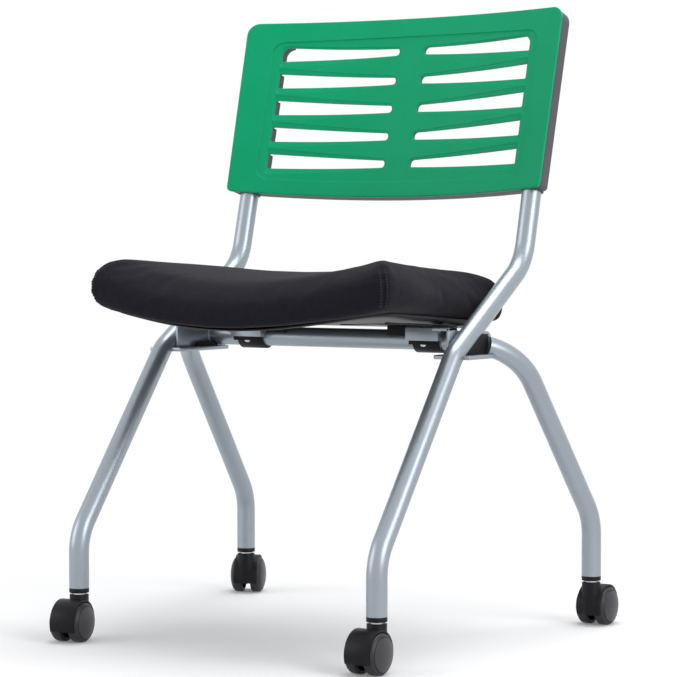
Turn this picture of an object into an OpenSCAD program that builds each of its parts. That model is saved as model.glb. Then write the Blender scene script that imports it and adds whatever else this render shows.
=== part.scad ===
// Nesting chair: bent tube frame on four twin-wheel casters, slotted two-shell
// back and a padded seat that flips up about the crossbar, so that chairs nest.
// Millimetres, +Z up, the front of the chair faces -Y, the floor is at z = 0.

/* [Frame] */
// Outer diameter of the frame tube
tube_d = 25.4; // [22:0.1:30]
// Wall of the frame tube
tube_wall = 2; // [1.2:0.1:3]
// Side tube's distance from the middle of the chair
side_x = 222; // [205:1:240]
// Front caster axis, in front of the origin
front_y = 224; // [190:1:260]
// Rear caster axis, behind the origin
rear_y = 226; // [200:1:260]
// Rear caster axis, from the middle of the chair
rear_x = 276; // [262:1:300]
// Underside of the leg ends above the floor
leg_end_z = 60; // [56:1:75]
// Height of the corner above each front caster
front_corner_z = 133; // [125:1:150]
// Height of the corner above each rear caster
rear_corner_z = 142; // [130:1:160]
// Height of the knee, where the side tube turns back under the seat
knee_z = 365; // [355:1:372]
// Knee's distance behind the front caster axis
knee_set_y = 180; // [165:1:195]
// Height of the hip, where the side tube turns up into the back
hip_z = 477; // [460:1:490]
// Hip's place behind the origin
hip_y = 134; // [120:1:145]
// Lean of the uprights and of the back, in degrees
lean = 14.5; // [8:0.5:18]
// Bend radius above the casters
foot_r = 66; // [50:1:80]
// Bend radius at the knee
knee_r = 46; // [40:1:60]
// Bend radius at the hip
hip_r = 68; // [50:1:80]
// Bend radius at the top of the rear leg
haunch_r = 110; // [80:1:112]

/* [Bracket and crossbar] */
// Thickness of the bracket's upright web
web_t = 4; // [3:0.5:5]
// Thickness of the bracket's floor plate
plate_t = 5; // [4:0.5:7]
// Height of the rear leg's top end, at its middle
haunch_z = 377.5; // [372:0.5:382]
// Place of the crossbar and the seat's hinge behind the origin
hinge_y = 48; // [40:1:56]
// Height of the crossbar
hinge_z = 379; // [375:0.5:383]
// Width of the horn that the seat rests on
horn_w = 20; // [14:1:26]
// Thickness of the horn's rubber pad
pad_t = 3; // [2:0.5:4]

/* [Seat] */
// Space between the back corners of the seat and each side tube
seat_side_gap = 11.3; // [9:0.1:20]
// Flare of each front corner beyond the back corners
seat_flare = 15; // [0:0.5:24]
// Front corners, in front of the origin
seat_front = 192; // [170:1:205]
// Back corners, behind the origin
seat_rear = 128; // [110:1:132]
// Bow of the front edge beyond its corners
bow_front = 30; // [10:1:40]
// Bow of the back edge beyond its corners
bow_rear = 16; // [6:1:24]
// Height of the cushion's underside at the front corners
seat_corner_z = 424; // [420:1:440]
// Fall of the seat towards the back, in degrees
seat_tilt = 4.2; // [2:0.1:4.5]
// How far the middle of the front edge dips below its corners
dip = 29; // [10:1:34]
// Thickness of the cushion, before its crown and its raised sides
cushion_t = 54; // [40:1:62]
// Crown of the cushion's middle above its front and rear edges
crown = 2; // [0:0.5:8]
// Height of the cushion's sides above its middle
side_lift = 10; // [0:0.5:14]
// Thickness of the seat pan under the cushion
pan_t = 9; // [7:0.5:10]

/* [Back] */
// Width of the back across its lower corners
back_w_low = 490; // [470:1:510]
// Width of the back across its upper corners
back_w_high = 496; // [470:1:516]
// Height of the back along its lean
back_h = 243; // [225:1:260]
// Height of the back's lower corners above the floor
back_z = 576; // [560:1:600]
// Hollow of the back across its width
back_sag = 42; // [25:1:48]
// Crown of the top edge
back_crown = 10; // [0:1:14]
// Thickness of the front shell
shell_t = 3.5; // [2.5:0.5:4.5]
// Depth of the back from the front shell's face to the rim of the cover
back_depth = 25; // [20:1:30]
// Number of slot rows
slot_rows = 5; // [3:1:5]
// Distance between slot rows
slot_pitch = 38.6; // [32:0.2:40]
// Height of a slot at its outer end
slot_high = 20.5; // [14:0.5:22]
// Height of a slot at its inner tip
slot_tip = 10; // [6:0.5:12]
// Outer end of each slot from the middle
slot_out = 195; // [180:1:198]
// Inner tip of each slot from the middle
slot_in = 20; // [14:1:40]

/* [Casters] */
// Diameter of a wheel
wheel_d = 50; // [46:1:52]
// Width across both wheels
caster_w = 50; // [44:1:54]
// Trail of the wheels behind the stem
trail = 18; // [16:0.5:19]
// Diameter of the steel stem
stem_d = 11; // [10:0.5:12]
// Turn of the left rear caster about its stem, in degrees
turned_rear = 24; // [-30:0.5:30]
// Turn of the left front caster about its stem, in degrees
turned_front = 9; // [-30:0.5:30]

/* [Hidden] */

// Colours
paint = "#a9b2bb";
dark_plastic = "#2b2b2e";
rubber_black = "#1f1f21";
zinc = "#c9ccd0";
green = "#1fa274";
cover_grey = "#6b6b70";
fabric = "#28272c";
disc_grey = "#55555a";

// Overrun of every cut, running clearances and the gap between moving pieces
over = 1;
run_gap = 0.05;
move_gap = 0.3;
round_fn = 72;
tube_r = tube_d / 2;
tube_in = tube_r - tube_wall;

// Vectors
function unit(v) = v / norm(v);

// A frame of axes at o with its Z along z and its X as near x as can be
module at_axes(o, z, x) {
    az = unit(z);
    ax = unit(x - (x * az) * az);
    ay = cross(az, ax);
    multmatrix([[ax[0], ay[0], az[0], o[0]],
        [ax[1], ay[1], az[1], o[1]],
        [ax[2], ay[2], az[2], o[2]],
        [0, 0, 0, 1]]) children();
}

function some_side(d) = abs(d[0]) < 0.9 ? [1, 0, 0] : [0, 1, 0];

// Length that a bend of radius r takes from each leg of the corner a, b, c
function bend_take(a, b, c, r) = r * tan((180 - corner_angle(a, b, c)) / 2);
function corner_angle(a, b, c) = acos(unit(a - b) * unit(c - b));

// What the bends take from the corner at p[i]; the ends of p have no bend
function taken(p, bends, i) = i == 0 || i == len(p) - 1 ? 0
    : bend_take(p[i - 1], p[i], p[i + 1], bends[i - 1]);

// Tube along the points p: each run and bend stands on the end of the last one.
// A hair of space at each end of a run keeps every piece a clean solid. Here +Z
// runs along the piece, and side says which way +X points. A last_share below 1
// cuts the tube off in its last bend.
hair = 0.02;
module bent_tube(p, bends, last_share = 1) {
    along = unit(p[1] - p[0]);
    side = unit(some_side(along) - (some_side(along) * along) * along);
    at_axes(p[0], along, side) tube_from(p, bends, 0, side, last_share);
}
module tube_from(p, bends, i, side, last_share) {
    run = norm(p[i + 1] - p[i]) - taken(p, bends, i) - taken(p, bends, i + 1);
    from = i > 0 ? hair : 0;
    to = i < len(p) - 2 ? run - hair : run;
    translate([0, 0, from]) difference() {
        cylinder(r = tube_r, h = to - from, $fn = round_fn);
        translate([0, 0, -over]) cylinder(r = tube_in, h = run + over * 2, $fn = round_fn);
    }
    if (i < len(p) - 2) {
        along = unit(p[i + 1] - p[i]);
        next = unit(p[i + 2] - p[i + 1]);
        cut_off = i == len(p) - 3 && last_share < 1;
        turn = (180 - corner_angle(p[i], p[i + 1], p[i + 2])) * (cut_off ? last_share : 1);
        towards = unit(next - (next * along) * along);
        translate([0, 0, run])
            rotate([0, 0, atan2(towards * cross(along, side), towards * side)])
            translate([bends[i], 0, 0]) {
                rotate([90, 0, 180]) rotate_extrude(angle = turn, $fn = round_fn)
                    translate([bends[i], 0]) difference() {
                        circle(r = tube_r, $fn = round_fn);
                        circle(r = tube_in, $fn = round_fn);
                    }
                if (!cut_off) rotate([0, turn, 0]) translate([-bends[i], 0, 0])
                    tube_from(p, bends, i + 1, cos(turn) * towards - sin(turn) * along,
                        last_share);
            }
    }
}

// Solid bar along p, only used to cut a cope. Each bend is a hair fuller than the
// runs, which reach a little way into it.
bend_full = 0.03;
bend_lap = 0.6;
module cope_bar(p, bends) {
    n = len(p);
    for (i = [0 : n - 2]) {
        d = unit(p[i + 1] - p[i]);
        a = p[i] + d * max(taken(p, bends, i) - bend_lap, 0);
        b = p[i + 1] - d * max(taken(p, bends, i + 1) - bend_lap, 0);
        at_axes(a, b - a, some_side(d)) cylinder(r = tube_r, h = norm(b - a), $fn = round_fn);
    }
    for (i = [1 : n - 2]) cope_bend(p, bends, i, tube_r + bend_full, 1);
}
// The bend at p[i] as a solid bar of radius r, and only the first share of it
module cope_bend(p, bends, i, r, share) {
    back = unit(p[i - 1] - p[i]);
    on = unit(p[i + 1] - p[i]);
    centre = p[i] + unit(back + on) * norm([bends[i - 1], taken(p, bends, i)]);
    start = p[i] + back * taken(p, bends, i) - centre;
    end = p[i] + on * taken(p, bends, i) - centre;
    at_axes(centre, cross(start, end), start)
        rotate_extrude(angle = (180 - corner_angle(p[i - 1], p[i], p[i + 1])) * share,
            $fn = round_fn)
        translate([bends[i - 1], 0]) circle(r = r, $fn = round_fn);
}

// Leg end sockets: the ring below the tube and the plug inside it
ring_h = 6;
plug_h = 32;
tube_end_z = leg_end_z + ring_h;

// Side tube: front foot, knee, hip and the end inside the back
knee_y = knee_set_y - front_y;
upright_in_back = 176;
upright_end_z = back_z + upright_in_back * cos(lean);
function upright_y(z) = hip_y + (z - hip_z) * tan(lean);
side_path = [[side_x, -front_y, tube_end_z], [side_x, -front_y, front_corner_z],
    [side_x, knee_y, knee_z], [side_x, hip_y, hip_z],
    [side_x, upright_y(upright_end_z), upright_end_z]];
side_bends = [foot_r, knee_r, hip_r];

module side_tube(s) {
    color(paint) scale_x(s) bent_tube(side_path, side_bends);
}

// Rear leg: foot and haunch; it is cut off in the haunch, on the bracket's plate
haunch_out = 36;
haunch_y = 48.5;
haunch_turn = 42;
haunch_run = 74;
haunch_share = 0.765;
haunch_way = -[sin(haunch_turn), cos(haunch_turn), 0];
haunch = [side_x + haunch_out, haunch_y, haunch_z];
leg_path = [[rear_x, rear_y, tube_end_z], [rear_x, rear_y, rear_corner_z],
    haunch, haunch + haunch_way * haunch_run];
haunch_all = 180 - corner_angle(leg_path[1], leg_path[2], leg_path[3]);
haunch_bend = min(haunch_r, (haunch_run - over) / tan(haunch_all / 2));
leg_bends = [foot_r, haunch_bend];

// Where the cut end of the rear leg is and which way it points
leg_way = unit(haunch - leg_path[1]);
leg_inward = unit(haunch_way - (haunch_way * leg_way) * leg_way);
leg_kept = haunch_all * haunch_share;
leg_top = haunch - leg_way * (taken(leg_path, leg_bends, 2) - haunch_bend * sin(leg_kept))
    + leg_inward * haunch_bend * (1 - cos(leg_kept));
leg_top_way = leg_way * cos(leg_kept) + leg_inward * sin(leg_kept);

module rear_leg(s) {
    color(paint) scale_x(s) bent_tube(leg_path, leg_bends, haunch_share);
}
// Everything near the haunch on the +Z side of the frame it is put in
module half_space() {
    translate([-haunch_run, -haunch_run, 0])
        cube([haunch_run * 2, haunch_run * 2, haunch_run]);
}

// Bracket: an upright web inside the side tube, with a horn in front, and a
// floor plate that the rear leg stands on
web_x = side_x - tube_r - web_t;
plate_top = haunch_z - tube_r;
plate_in = 15;
plate_out_side = 22;
plate_out = side_x + plate_out_side;
plate_front = -44;
plate_rear = 66;
plate_round = 7;
plate_out_rear = leg_top[1] + tube_r;
web_front = -34;
web_rear = 76;
web_round = 14;
web_low_front = hinge_z + tube_r;
horn_fillet = 6;
web_bottom = plate_top - plate_t;

// Cushion underside and seat pan surface, used by the horn as well
seat_hw_rear = side_x - tube_r - seat_side_gap;
seat_hw_front = seat_hw_rear + seat_flare;
seat_len = seat_front + seat_rear;
hinge_half = 25;
dip_from = hinge_y - hinge_half;
dip_run = dip_from + seat_front + bow_front;
function half_w(y) = seat_hw_front
    + (seat_hw_rear - seat_hw_front) * min(max((y + seat_front) / seat_len, 0), 1);
function dip_at(y) = dip * pow(max((dip_from - y) / dip_run, 0), 2);
function seat_low(x, y) = seat_corner_z - (y + seat_front) * tan(seat_tilt)
    - dip_at(y) * (1 - pow(x / half_w(y), 2));
pan_edge_share = 0.45;
function pan_depth(y) = pan_t * (y > -front_thin ? 1
    : 1 - (1 - pan_edge_share) * min((-front_thin - y) / (seat_front - front_thin), 1));
front_thin = 90;
horn_tab = 20;
horn_top = seat_low(web_x - horn_tab, web_front + horn_w) - pan_t - move_gap - pad_t;

module web_outline() {
    difference() {
        union() {
            translate([web_front, web_bottom])
                square([web_rear - web_front - web_round, web_low_front - web_bottom]);
            translate([web_front + horn_w, web_bottom])
                square([web_rear - web_front - horn_w, web_low_front - web_bottom
                    - web_round]);
            translate([web_rear - web_round, web_low_front - web_round])
                circle(r = web_round, $fn = round_fn);
            translate([web_front, web_bottom])
                square([horn_w, horn_top - web_bottom]);
            translate([web_front + horn_w, web_low_front])
                square([horn_fillet, horn_fillet]);
        }
        translate([web_front + horn_w + horn_fillet, web_low_front + horn_fillet])
            circle(r = horn_fillet, $fn = round_fn);
    }
}

module plate_outline() {
    translate([web_x - plate_in, plate_front + plate_round])
        square([plate_in + web_t, plate_rear - plate_front - plate_round * 2]);
    translate([web_x - plate_in + plate_round, plate_front])
        square([plate_in + web_t - plate_round, plate_rear - plate_front]);
    for (y = [plate_front + plate_round, plate_rear - plate_round])
        translate([web_x - plate_in + plate_round, y])
            circle(r = plate_round, $fn = round_fn);
    translate([web_x, plate_front])
        square([plate_out - web_x - plate_round, plate_out_rear - plate_front]);
    translate([web_x, plate_front])
        square([plate_out - web_x, plate_out_rear - plate_front - plate_round]);
    translate([plate_out - plate_round, plate_out_rear - plate_round])
        circle(r = plate_round, $fn = round_fn);
}

module bracket(s) {
    color(paint) scale_x(s) difference() {
        union() {
            translate([web_x, 0, 0]) rotate([90, 0, 90])
                linear_extrude(web_t) web_outline();
            translate([0, 0, web_bottom]) linear_extrude(plate_t) plate_outline();
            translate([web_x - horn_tab, web_front, horn_top - web_t])
                cube([horn_tab + web_t, horn_w, web_t]);
        }
        cope_bar(side_path, side_bends);
        cope_bend(leg_path, leg_bends, 2, tube_r + run_gap, haunch_share);
    }
}

// Mirrors to the left side when s is -1
module scale_x(s) {
    if (s > 0) children();
    else mirror([1, 0, 0]) children();
}

module crossbar() {
    color(paint) translate([-web_x, hinge_y, hinge_z]) rotate([0, 90, 0])
        difference() {
            cylinder(r = tube_r, h = web_x * 2, $fn = round_fn);
            translate([0, 0, -over])
                cylinder(r = tube_in, h = web_x * 2 + over * 2, $fn = round_fn);
        }
}

// Rubber pads on the horns, rubber domes on the plates, glides between tubes
module horn_pads() {
    color(rubber_black) for (s = [1, -1]) scale_x(s)
        translate([web_x - horn_tab, web_front, horn_top])
            cube([horn_tab + web_t, horn_w, pad_t]);
}

bumper_len = 38;
bumper_h = 7;
bumper_w = 11;
bumper_y = 22;
bumper_side = 1.5;
bumper_r = (pow(bumper_len / 2, 2) + pow(bumper_h, 2)) / (2 * bumper_h);
module nest_bumpers() {
    color(rubber_black) for (s = [1, -1]) scale_x(s)
        translate([web_x - bumper_w - bumper_side, bumper_y, plate_top])
            intersection() {
                translate([0, 0, bumper_h - bumper_r]) rotate([0, 90, 0])
                    cylinder(r = bumper_r, h = bumper_w, $fn = round_fn);
                translate([-over, -bumper_len / 2, 0])
                    cube([bumper_w + over * 2, bumper_len, bumper_h]);
            }
}

glide_w = 16;
glide_high = 25;
module nest_glides() {
    along = unit(side_path[3] - side_path[2]);
    color(rubber_black) for (s = [1, -1]) scale_x(s) difference() {
        translate([side_x - glide_w / 4, knee_y, plate_top])
            cube([glide_w, leg_top[1] - knee_y, glide_high]);
        cope_bar(side_path, side_bends);
        at_axes(leg_top + leg_top_way * move_gap, -leg_top_way, [1, 0, 0]) half_space();
        at_axes([side_x, knee_y, knee_z], [0, -along[2], along[1]], [1, 0, 0])
            half_space();
    }
}

// Corners of a flat outline, each rounded with its own radius
round_steps = 5;
function arc_at(a, b, c, r, steps = round_steps) =
    let (u = unit(a - b), v = unit(c - b), angle = acos(u * v),
        centre = b + unit(u + v) * r / sin(angle / 2),
        start = b + u * r / tan(angle / 2) - centre,
        end = b + v * r / tan(angle / 2) - centre,
        from = atan2(start[1], start[0]),
        turn = atan2(start[0] * end[1] - start[1] * end[0], start * end))
    [for (i = [0 : steps]) let (t = from + turn * i / steps)
        centre + r * [cos(t), sin(t)]];
function rounded(p, r) = let (n = len(p))
    [for (i = [0 : n - 1]) each r[i] == 0 ? [p[i]]
        : arc_at(p[(i + n - 1) % n], p[i], p[(i + 1) % n], r[i])];

// Back: its own frame has Y square to the lean and Z up the lean. The uprights
// stand just behind the front shell.
shell_to_tube = 0.5;
back_half = (back_w_low + back_w_high) / 4;
back_r = (pow(back_half, 2) + pow(back_sag, 2)) / (2 * back_sag);
tube_set = back_sag - back_r
    + sqrt(pow(back_r + shell_t + shell_to_tube + tube_r, 2) - pow(side_x, 2));
back_reach = back_sag + back_depth + tube_d * 2;
back_foot = [0, upright_y(back_z) - tube_set / cos(lean), back_z];
corner_high = 18;
corner_low = 6;
crown_steps = 10;
module in_back() { translate(back_foot) rotate([-lean, 0, 0]) children(); }

function back_corners(inset) =
    let (low = back_w_low / 2 - inset, high = back_w_high / 2 - inset,
        top = back_h - inset)
    concat([[-low, inset], [low, inset], [high, top]],
        [for (i = [1 : crown_steps - 1]) let (share = 1 - 2 * i / crown_steps)
            [high * share, top + back_crown * (1 - share * share)]],
        [[-high, top]]);
function back_radii(inset) = let (low = max(corner_low - inset, 1),
        high = max(corner_high - inset / 2, 1))
    concat([low, low, high], [for (i = [1 : crown_steps - 1]) 0], [high]);

// A flat outline in X and Z, drawn through the whole depth of the back
module through_back() {
    translate([0, back_reach, 0]) rotate([90, 0, 0])
        linear_extrude(back_reach + back_depth) children();
}
// The curved sheet between two depths behind the front face
module back_sheet(from, to) {
    translate([0, back_sag - back_r, -back_h]) difference() {
        cylinder(r = back_r + to, h = back_h * 3, $fn = 240);
        translate([0, 0, -over])
            cylinder(r = back_r + from, h = back_h * 3 + over * 2, $fn = 240);
    }
}
module back_plate(from, to, inset) {
    intersection() {
        back_sheet(from, to);
        through_back() polygon(rounded(back_corners(inset), back_radii(inset)));
    }
}

// Slots: each tapers from its outer end to a round tip near the middle
slot_first = 36.5;
slot_lift = 4.8;
slot_low_power = 0.85;
slot_high_power = 1.6;
slot_steps = 5;
slot_corner = 1.6;
slot_top_corner = 8;
function slot_points(row, grow) =
    let (low = slot_first + row * slot_pitch - grow,
        high = low + slot_high + grow * 2,
        tip = slot_first + row * slot_pitch + slot_high / 2
            + slot_lift * pow(row / slot_rows, 3) * 2,
        tip_half = slot_tip / 2 + grow,
        out = slot_out + grow, in = slot_in - grow)
    concat([for (i = [0 : slot_steps]) let (s = i / slot_steps)
            [out + (in - out) * s, low + (tip - tip_half - low) * pow(s, slot_low_power)]],
        [for (i = [slot_steps : -1 : 0]) let (s = i / slot_steps)
            [out + (in - out) * s, high + (tip + tip_half - high) * pow(s, slot_high_power)]]);
function slot_radii(row, grow) = concat(
    [slot_corner], [for (i = [1 : slot_steps - 1]) 0], [slot_tip / 2 + grow - slot_corner / 4],
    [slot_tip / 2 + grow - slot_corner / 4], [for (i = [1 : slot_steps - 1]) 0],
    [row == slot_rows - 1 ? slot_top_corner : slot_corner]);
module slots(grow) {
    for (row = [0 : slot_rows - 1], s = [1, -1])
        scale_x(s) polygon(rounded(slot_points(row, grow), slot_radii(row, grow)));
}

// Screws that hold the cover to the shell, each in a boss behind the shell
shell_screw_x = 112;
shell_screw_low = 16;
shell_screw_down = 14;
shell_screw_high = back_h - shell_screw_down;
boss_r = 4.5;
pilot_r = 1.5;
cover_t = 5;
cover_gap = 0.4;
cover_inset = 1.2;
module at_shell_screws() {
    for (s = [1, -1], z = [shell_screw_low, shell_screw_high])
        translate([s * shell_screw_x, 0, z]) children();
}
function face_y(x) = back_sag - back_r + sqrt(pow(back_r, 2) - pow(x, 2));
boss_start = face_y(shell_screw_x) + shell_t / 2;
boss_end = face_y(shell_screw_x) + shell_t + cover_t;

// Front shell: a thin curved plate with a sunk panel round the slots
panel_inset = 26;
panel_side = 10;
panel_sink = 1.2;
module panel_outline() {
    x = back_w_low / 2 - panel_inset - panel_side;
    z = panel_inset - panel_side / 2;
    top = back_h - panel_inset;
    p = concat([[-x, z], [x, z], [x, top]],
        [for (i = [1 : crown_steps - 1]) let (share = 1 - 2 * i / crown_steps)
            [x * share, top + back_crown * (1 - share * share)]], [[-x, top]]);
    polygon(rounded(p, concat([corner_high, corner_high, corner_high],
        [for (i = [1 : crown_steps - 1]) 0], [corner_high])));
}
module back_shell() {
    color(green) in_back() difference() {
        union() {
            back_plate(0, shell_t, 0);
            at_shell_screws() translate([0, boss_start, 0]) rotate([-90, 0, 0])
                cylinder(r = boss_r, h = boss_end - boss_start, $fn = round_fn);
        }
        intersection() {
            back_sheet(-over, panel_sink);
            through_back() panel_outline();
        }
        through_back() slots(0);
        at_shell_screws() translate([0, boss_start, 0]) rotate([-90, 0, 0])
            cylinder(r = pilot_r, h = back_depth, $fn = round_fn);
    }
}

// Back cover: a slotted panel, a deep rim and a sleeve for each upright
cover_rim_t = 3;
sleeve_t = 2.6;
sleeve_gap = 0.1;
sleeve_r = tube_r + sleeve_gap + sleeve_t;
tube_end_back = upright_in_back + tube_set * tan(lean);
cap_h = 3;
sleeve_top = tube_end_back + cap_h + sleeve_t + sleeve_gap;
slot_grow = 1;
module at_sleeves() {
    for (s = [1, -1]) translate([s * side_x, tube_set, 0]) children();
}
module back_cover() {
    color(cover_grey) in_back() difference() {
        union() {
            back_plate(shell_t, shell_t + cover_t, cover_inset);
            difference() {
                back_plate(shell_t, back_depth, cover_inset);
                through_back() polygon(rounded(back_corners(cover_inset + cover_rim_t),
                    back_radii(cover_inset + cover_rim_t)));
            }
            at_sleeves() cylinder(r = sleeve_r, h = sleeve_top, $fn = round_fn);
        }
        translate([0, back_sag - back_r, -back_h])
            cylinder(r = back_r + shell_t + cover_gap, h = back_h * 3, $fn = 240);
        at_sleeves() translate([0, 0, -tube_d])
            cylinder(r = tube_r + sleeve_gap, h = tube_d + tube_end_back + cap_h + sleeve_gap,
                $fn = round_fn);
        through_back() slots(slot_grow);
        at_shell_screws() rotate([-90, 0, 0])
            cylinder(r = boss_r + run_gap, h = back_reach, $fn = round_fn);
        at_shell_screws() translate([0, boss_end, 0]) rotate([-90, 0, 0])
            cylinder(r = boss_r + screw_seat * 2, h = back_depth, $fn = round_fn);
        back_screw_bars(sleeve_screw_r + run_gap);
    }
}

// Screws through the sleeves into the uprights
sleeve_screw_r = 2;
sleeve_screw_shares = [0.22, 0.78];
screw_head_r = 4.4;
screw_head_h = 2.4;
screw_seat = 0.6;
screw_bite = 8;
module at_sleeve_screws() {
    for (s = [1, -1], share = sleeve_screw_shares)
        translate([s * side_x, tube_set, tube_end_back * share]) rotate([-90, 0, 0])
            children();
}
module back_screw_bars(r) {
    at_sleeve_screws() translate([0, 0, sleeve_r - screw_bite - tube_wall])
        cylinder(r = r, h = screw_bite + tube_d, $fn = round_fn);
}
module back_screws() {
    color(zinc) in_back() {
        at_sleeve_screws() {
            translate([0, 0, sleeve_r - screw_bite])
                cylinder(r = sleeve_screw_r, h = screw_bite + screw_seat, $fn = round_fn);
            translate([0, 0, sleeve_r]) screw_head(screw_head_r, screw_head_h);
        }
        at_shell_screws() translate([0, boss_end, 0]) rotate([-90, 0, 0]) {
            translate([0, 0, -cover_t]) cylinder(r = pilot_r, h = cover_t + screw_seat,
                $fn = round_fn);
            screw_head(boss_r + screw_seat, screw_head_h);
        }
    }
}
// Low round screw head with a socket, standing on z = 0
module screw_head(r, h) {
    difference() {
        rotate_extrude($fn = round_fn) intersection() {
            translate([0, h - (pow(r, 2) + pow(h, 2)) / (2 * h)])
                circle(r = (pow(r, 2) + pow(h, 2)) / (2 * h), $fn = round_fn);
            square([r, h]);
        }
        translate([0, 0, h / 2]) cylinder(r = r / 2, h = h, $fn = 6);
    }
}

// Plugs in the leg ends and caps in the upper ends of the uprights
socket_bore_r = stem_d / 2 + run_gap;
stem_in = 26;
stem_top = leg_end_z + stem_in;
leg_feet = [[side_x, -front_y], [-side_x, -front_y], [rear_x, rear_y],
    [-rear_x, rear_y]];
module leg_sockets() {
    color(dark_plastic) for (p = leg_feet) translate([p[0], p[1], leg_end_z])
        difference() {
            union() {
                cylinder(r = tube_r, h = ring_h, $fn = round_fn);
                cylinder(r = tube_in, h = ring_h + plug_h, $fn = round_fn);
            }
            translate([0, 0, -over])
                cylinder(r = socket_bore_r, h = stem_top - leg_end_z + over * 2,
                    $fn = round_fn);
        }
}
cap_plug = 10;
module tube_caps() {
    color(dark_plastic) in_back() at_sleeves() translate([0, 0, tube_end_back]) {
        cylinder(r = tube_r, h = cap_h, $fn = round_fn);
        translate([0, 0, -cap_plug]) cylinder(r = tube_in, h = cap_plug, $fn = round_fn);
    }
}

// Outline of the seat, seen from above, going round from the left front corner
front_round = 26;
rear_round = 48;
side_pull = 3;
front_steps = 8;
side_steps = 5;
seat_middle = (seat_rear - seat_front) / 2;
seat_half_len = seat_len / 2;
seat_outline = rounded(concat(
    [for (i = [0 : front_steps]) let (share = 2 * i / front_steps - 1)
        [seat_hw_front * share, -seat_front - bow_front * (1 - share * share)]],
    [for (i = [1 : side_steps]) let (y = -seat_front + seat_len * i / (side_steps + 1))
        [half_w(y) - side_pull * sin(180 * i / (side_steps + 1)), y]],
    [for (i = [0 : front_steps]) let (share = 1 - 2 * i / front_steps)
        [seat_hw_rear * share, seat_rear + bow_rear * (1 - share * share)]],
    [for (i = [1 : side_steps]) let (y = seat_rear - seat_len * i / (side_steps + 1))
        [-half_w(y) + side_pull * sin(180 * i / (side_steps + 1)), y]]),
    concat([front_round], [for (i = [1 : front_steps - 1]) 0], [front_round],
        [for (i = [1 : side_steps]) 0], [rear_round],
        [for (i = [1 : front_steps - 1]) 0], [rear_round],
        [for (i = [1 : side_steps]) 0]));
function drawn_in(p, d) = [p[0] * (1 - d / seat_hw_front),
    seat_middle + (p[1] - seat_middle) * (1 - d / seat_half_len)];

// Closed skin through rings of equal count, from the lowest ring to the highest.
// From ring turned on, the four-sided faces are split along their other diagonal,
// so that two skins that lie on each other are split alike.
module ringed(rings, first, last, turned) {
    n = len(rings[0]);
    m = len(rings);
    points = concat([first], [for (ring = rings) each ring], [last]);
    faces = concat(
        [for (i = [0 : n - 1]) [0, 1 + i, 1 + (i + 1) % n]],
        [for (k = [0 : m - 2], i = [0 : n - 1]) let (a = 1 + k * n + i,
            b = 1 + k * n + (i + 1) % n) each k < turned
            ? [[a, a + n, b + n], [a, b + n, b]] : [[a, a + n, b], [b, a + n, b + n]]],
        [for (i = [0 : n - 1])
            [1 + m * n, 1 + (m - 1) * n + (i + 1) % n, 1 + (m - 1) * n + i]]);
    polyhedron(points = points, faces = faces);
}

// Rings of the seat as [distance in from the outline, height]. The cushion's
// underside and both faces of the pan share the inner rings.
inner_ring_shares = [0.66, 0.5, 0.34, 0.2, 0.09];
cushion_ring_shares = concat([for (share = inner_ring_shares) [share, 0]],
    [[0.03, 0.02], [0.004, 0.1], [0.01, 0.14], [0, 0.2], [0, 0.5], [0.005, 0.72],
    [0.02, 0.88], [0.05, 0.97], [0.1, 1], [0.3, 1], [0.6, 1]]);
function crown_at(p) = crown * max(0, 1 - pow(p[0] / seat_hw_front, 2))
    * max(0, 1 - pow((p[1] - seat_middle) / (seat_half_len + bow_front), 2));
function lift_at(p) = side_lift * pow(p[0] / half_w(p[1]), 2);
function cushion_point(p, ring) = let (q = drawn_in(p, ring[0] * seat_hw_front))
    [q[0], q[1], seat_low(q[0], q[1]) + ring[1] * (cushion_t + crown_at(q) + lift_at(q))];
module seat_cushion() {
    color(fabric) ringed(
        [for (ring = cushion_ring_shares) [for (p = seat_outline) cushion_point(p, ring)]],
        [0, seat_middle, seat_low(0, seat_middle)],
        [0, seat_middle, seat_low(0, seat_middle) + cushion_t + crown],
        len(cushion_ring_shares));
}

// Seat pan: a moulded shell under the cushion with flat bosses for the hinges
pan_gap = 0.4;
pan_in_share = 0.035;
pan_ring_shares = concat([for (share = inner_ring_shares) [share, 1]],
    [[pan_in_share * 1.8, 0.95], [pan_in_share, 0.6], [pan_in_share, 0]],
    [for (i = [len(inner_ring_shares) - 1 : -1 : 0]) [inner_ring_shares[i], 0]]);
function pan_point(p, ring) = let (q = drawn_in(p, ring[0] * seat_hw_front))
    [q[0], q[1], seat_low(q[0], q[1]) - pan_gap
        - ring[1] * (pan_depth(q[1]) - pan_gap)];
hinge_x = 136;
hinge_w = 48;
saddle_wall = 3.8;
saddle_top = hinge_z + tube_r + saddle_wall;
boss_top = seat_low(hinge_x, hinge_y) - pan_t / 2;
hinge_screw_out = 7.4;
hinge_screw_y = tube_r + hinge_screw_out;
hinge_screw_r = 2.5;
screw_in_boss = 5;
module at_hinge_screws() {
    for (s = [1, -1], t = [1, -1])
        translate([s * hinge_x, hinge_y + t * hinge_screw_y, 0]) children();
}
module seat_pan() {
    color(dark_plastic) difference() {
        union() {
            ringed([for (ring = pan_ring_shares)
                    [for (p = seat_outline) pan_point(p, ring)]],
                [0, seat_middle, seat_low(0, seat_middle) - pan_t],
                [0, seat_middle, seat_low(0, seat_middle) - pan_gap],
                len(inner_ring_shares) + 2);
            for (s = [1, -1])
                translate([s * hinge_x - hinge_w / 2, hinge_y - hinge_half, saddle_top])
                    cube([hinge_w, hinge_half * 2, boss_top - saddle_top]);
        }
        at_hinge_screws() translate([0, 0, saddle_top - over])
            cylinder(r = hinge_screw_r, h = screw_in_boss + over, $fn = round_fn);
    }
}

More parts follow.
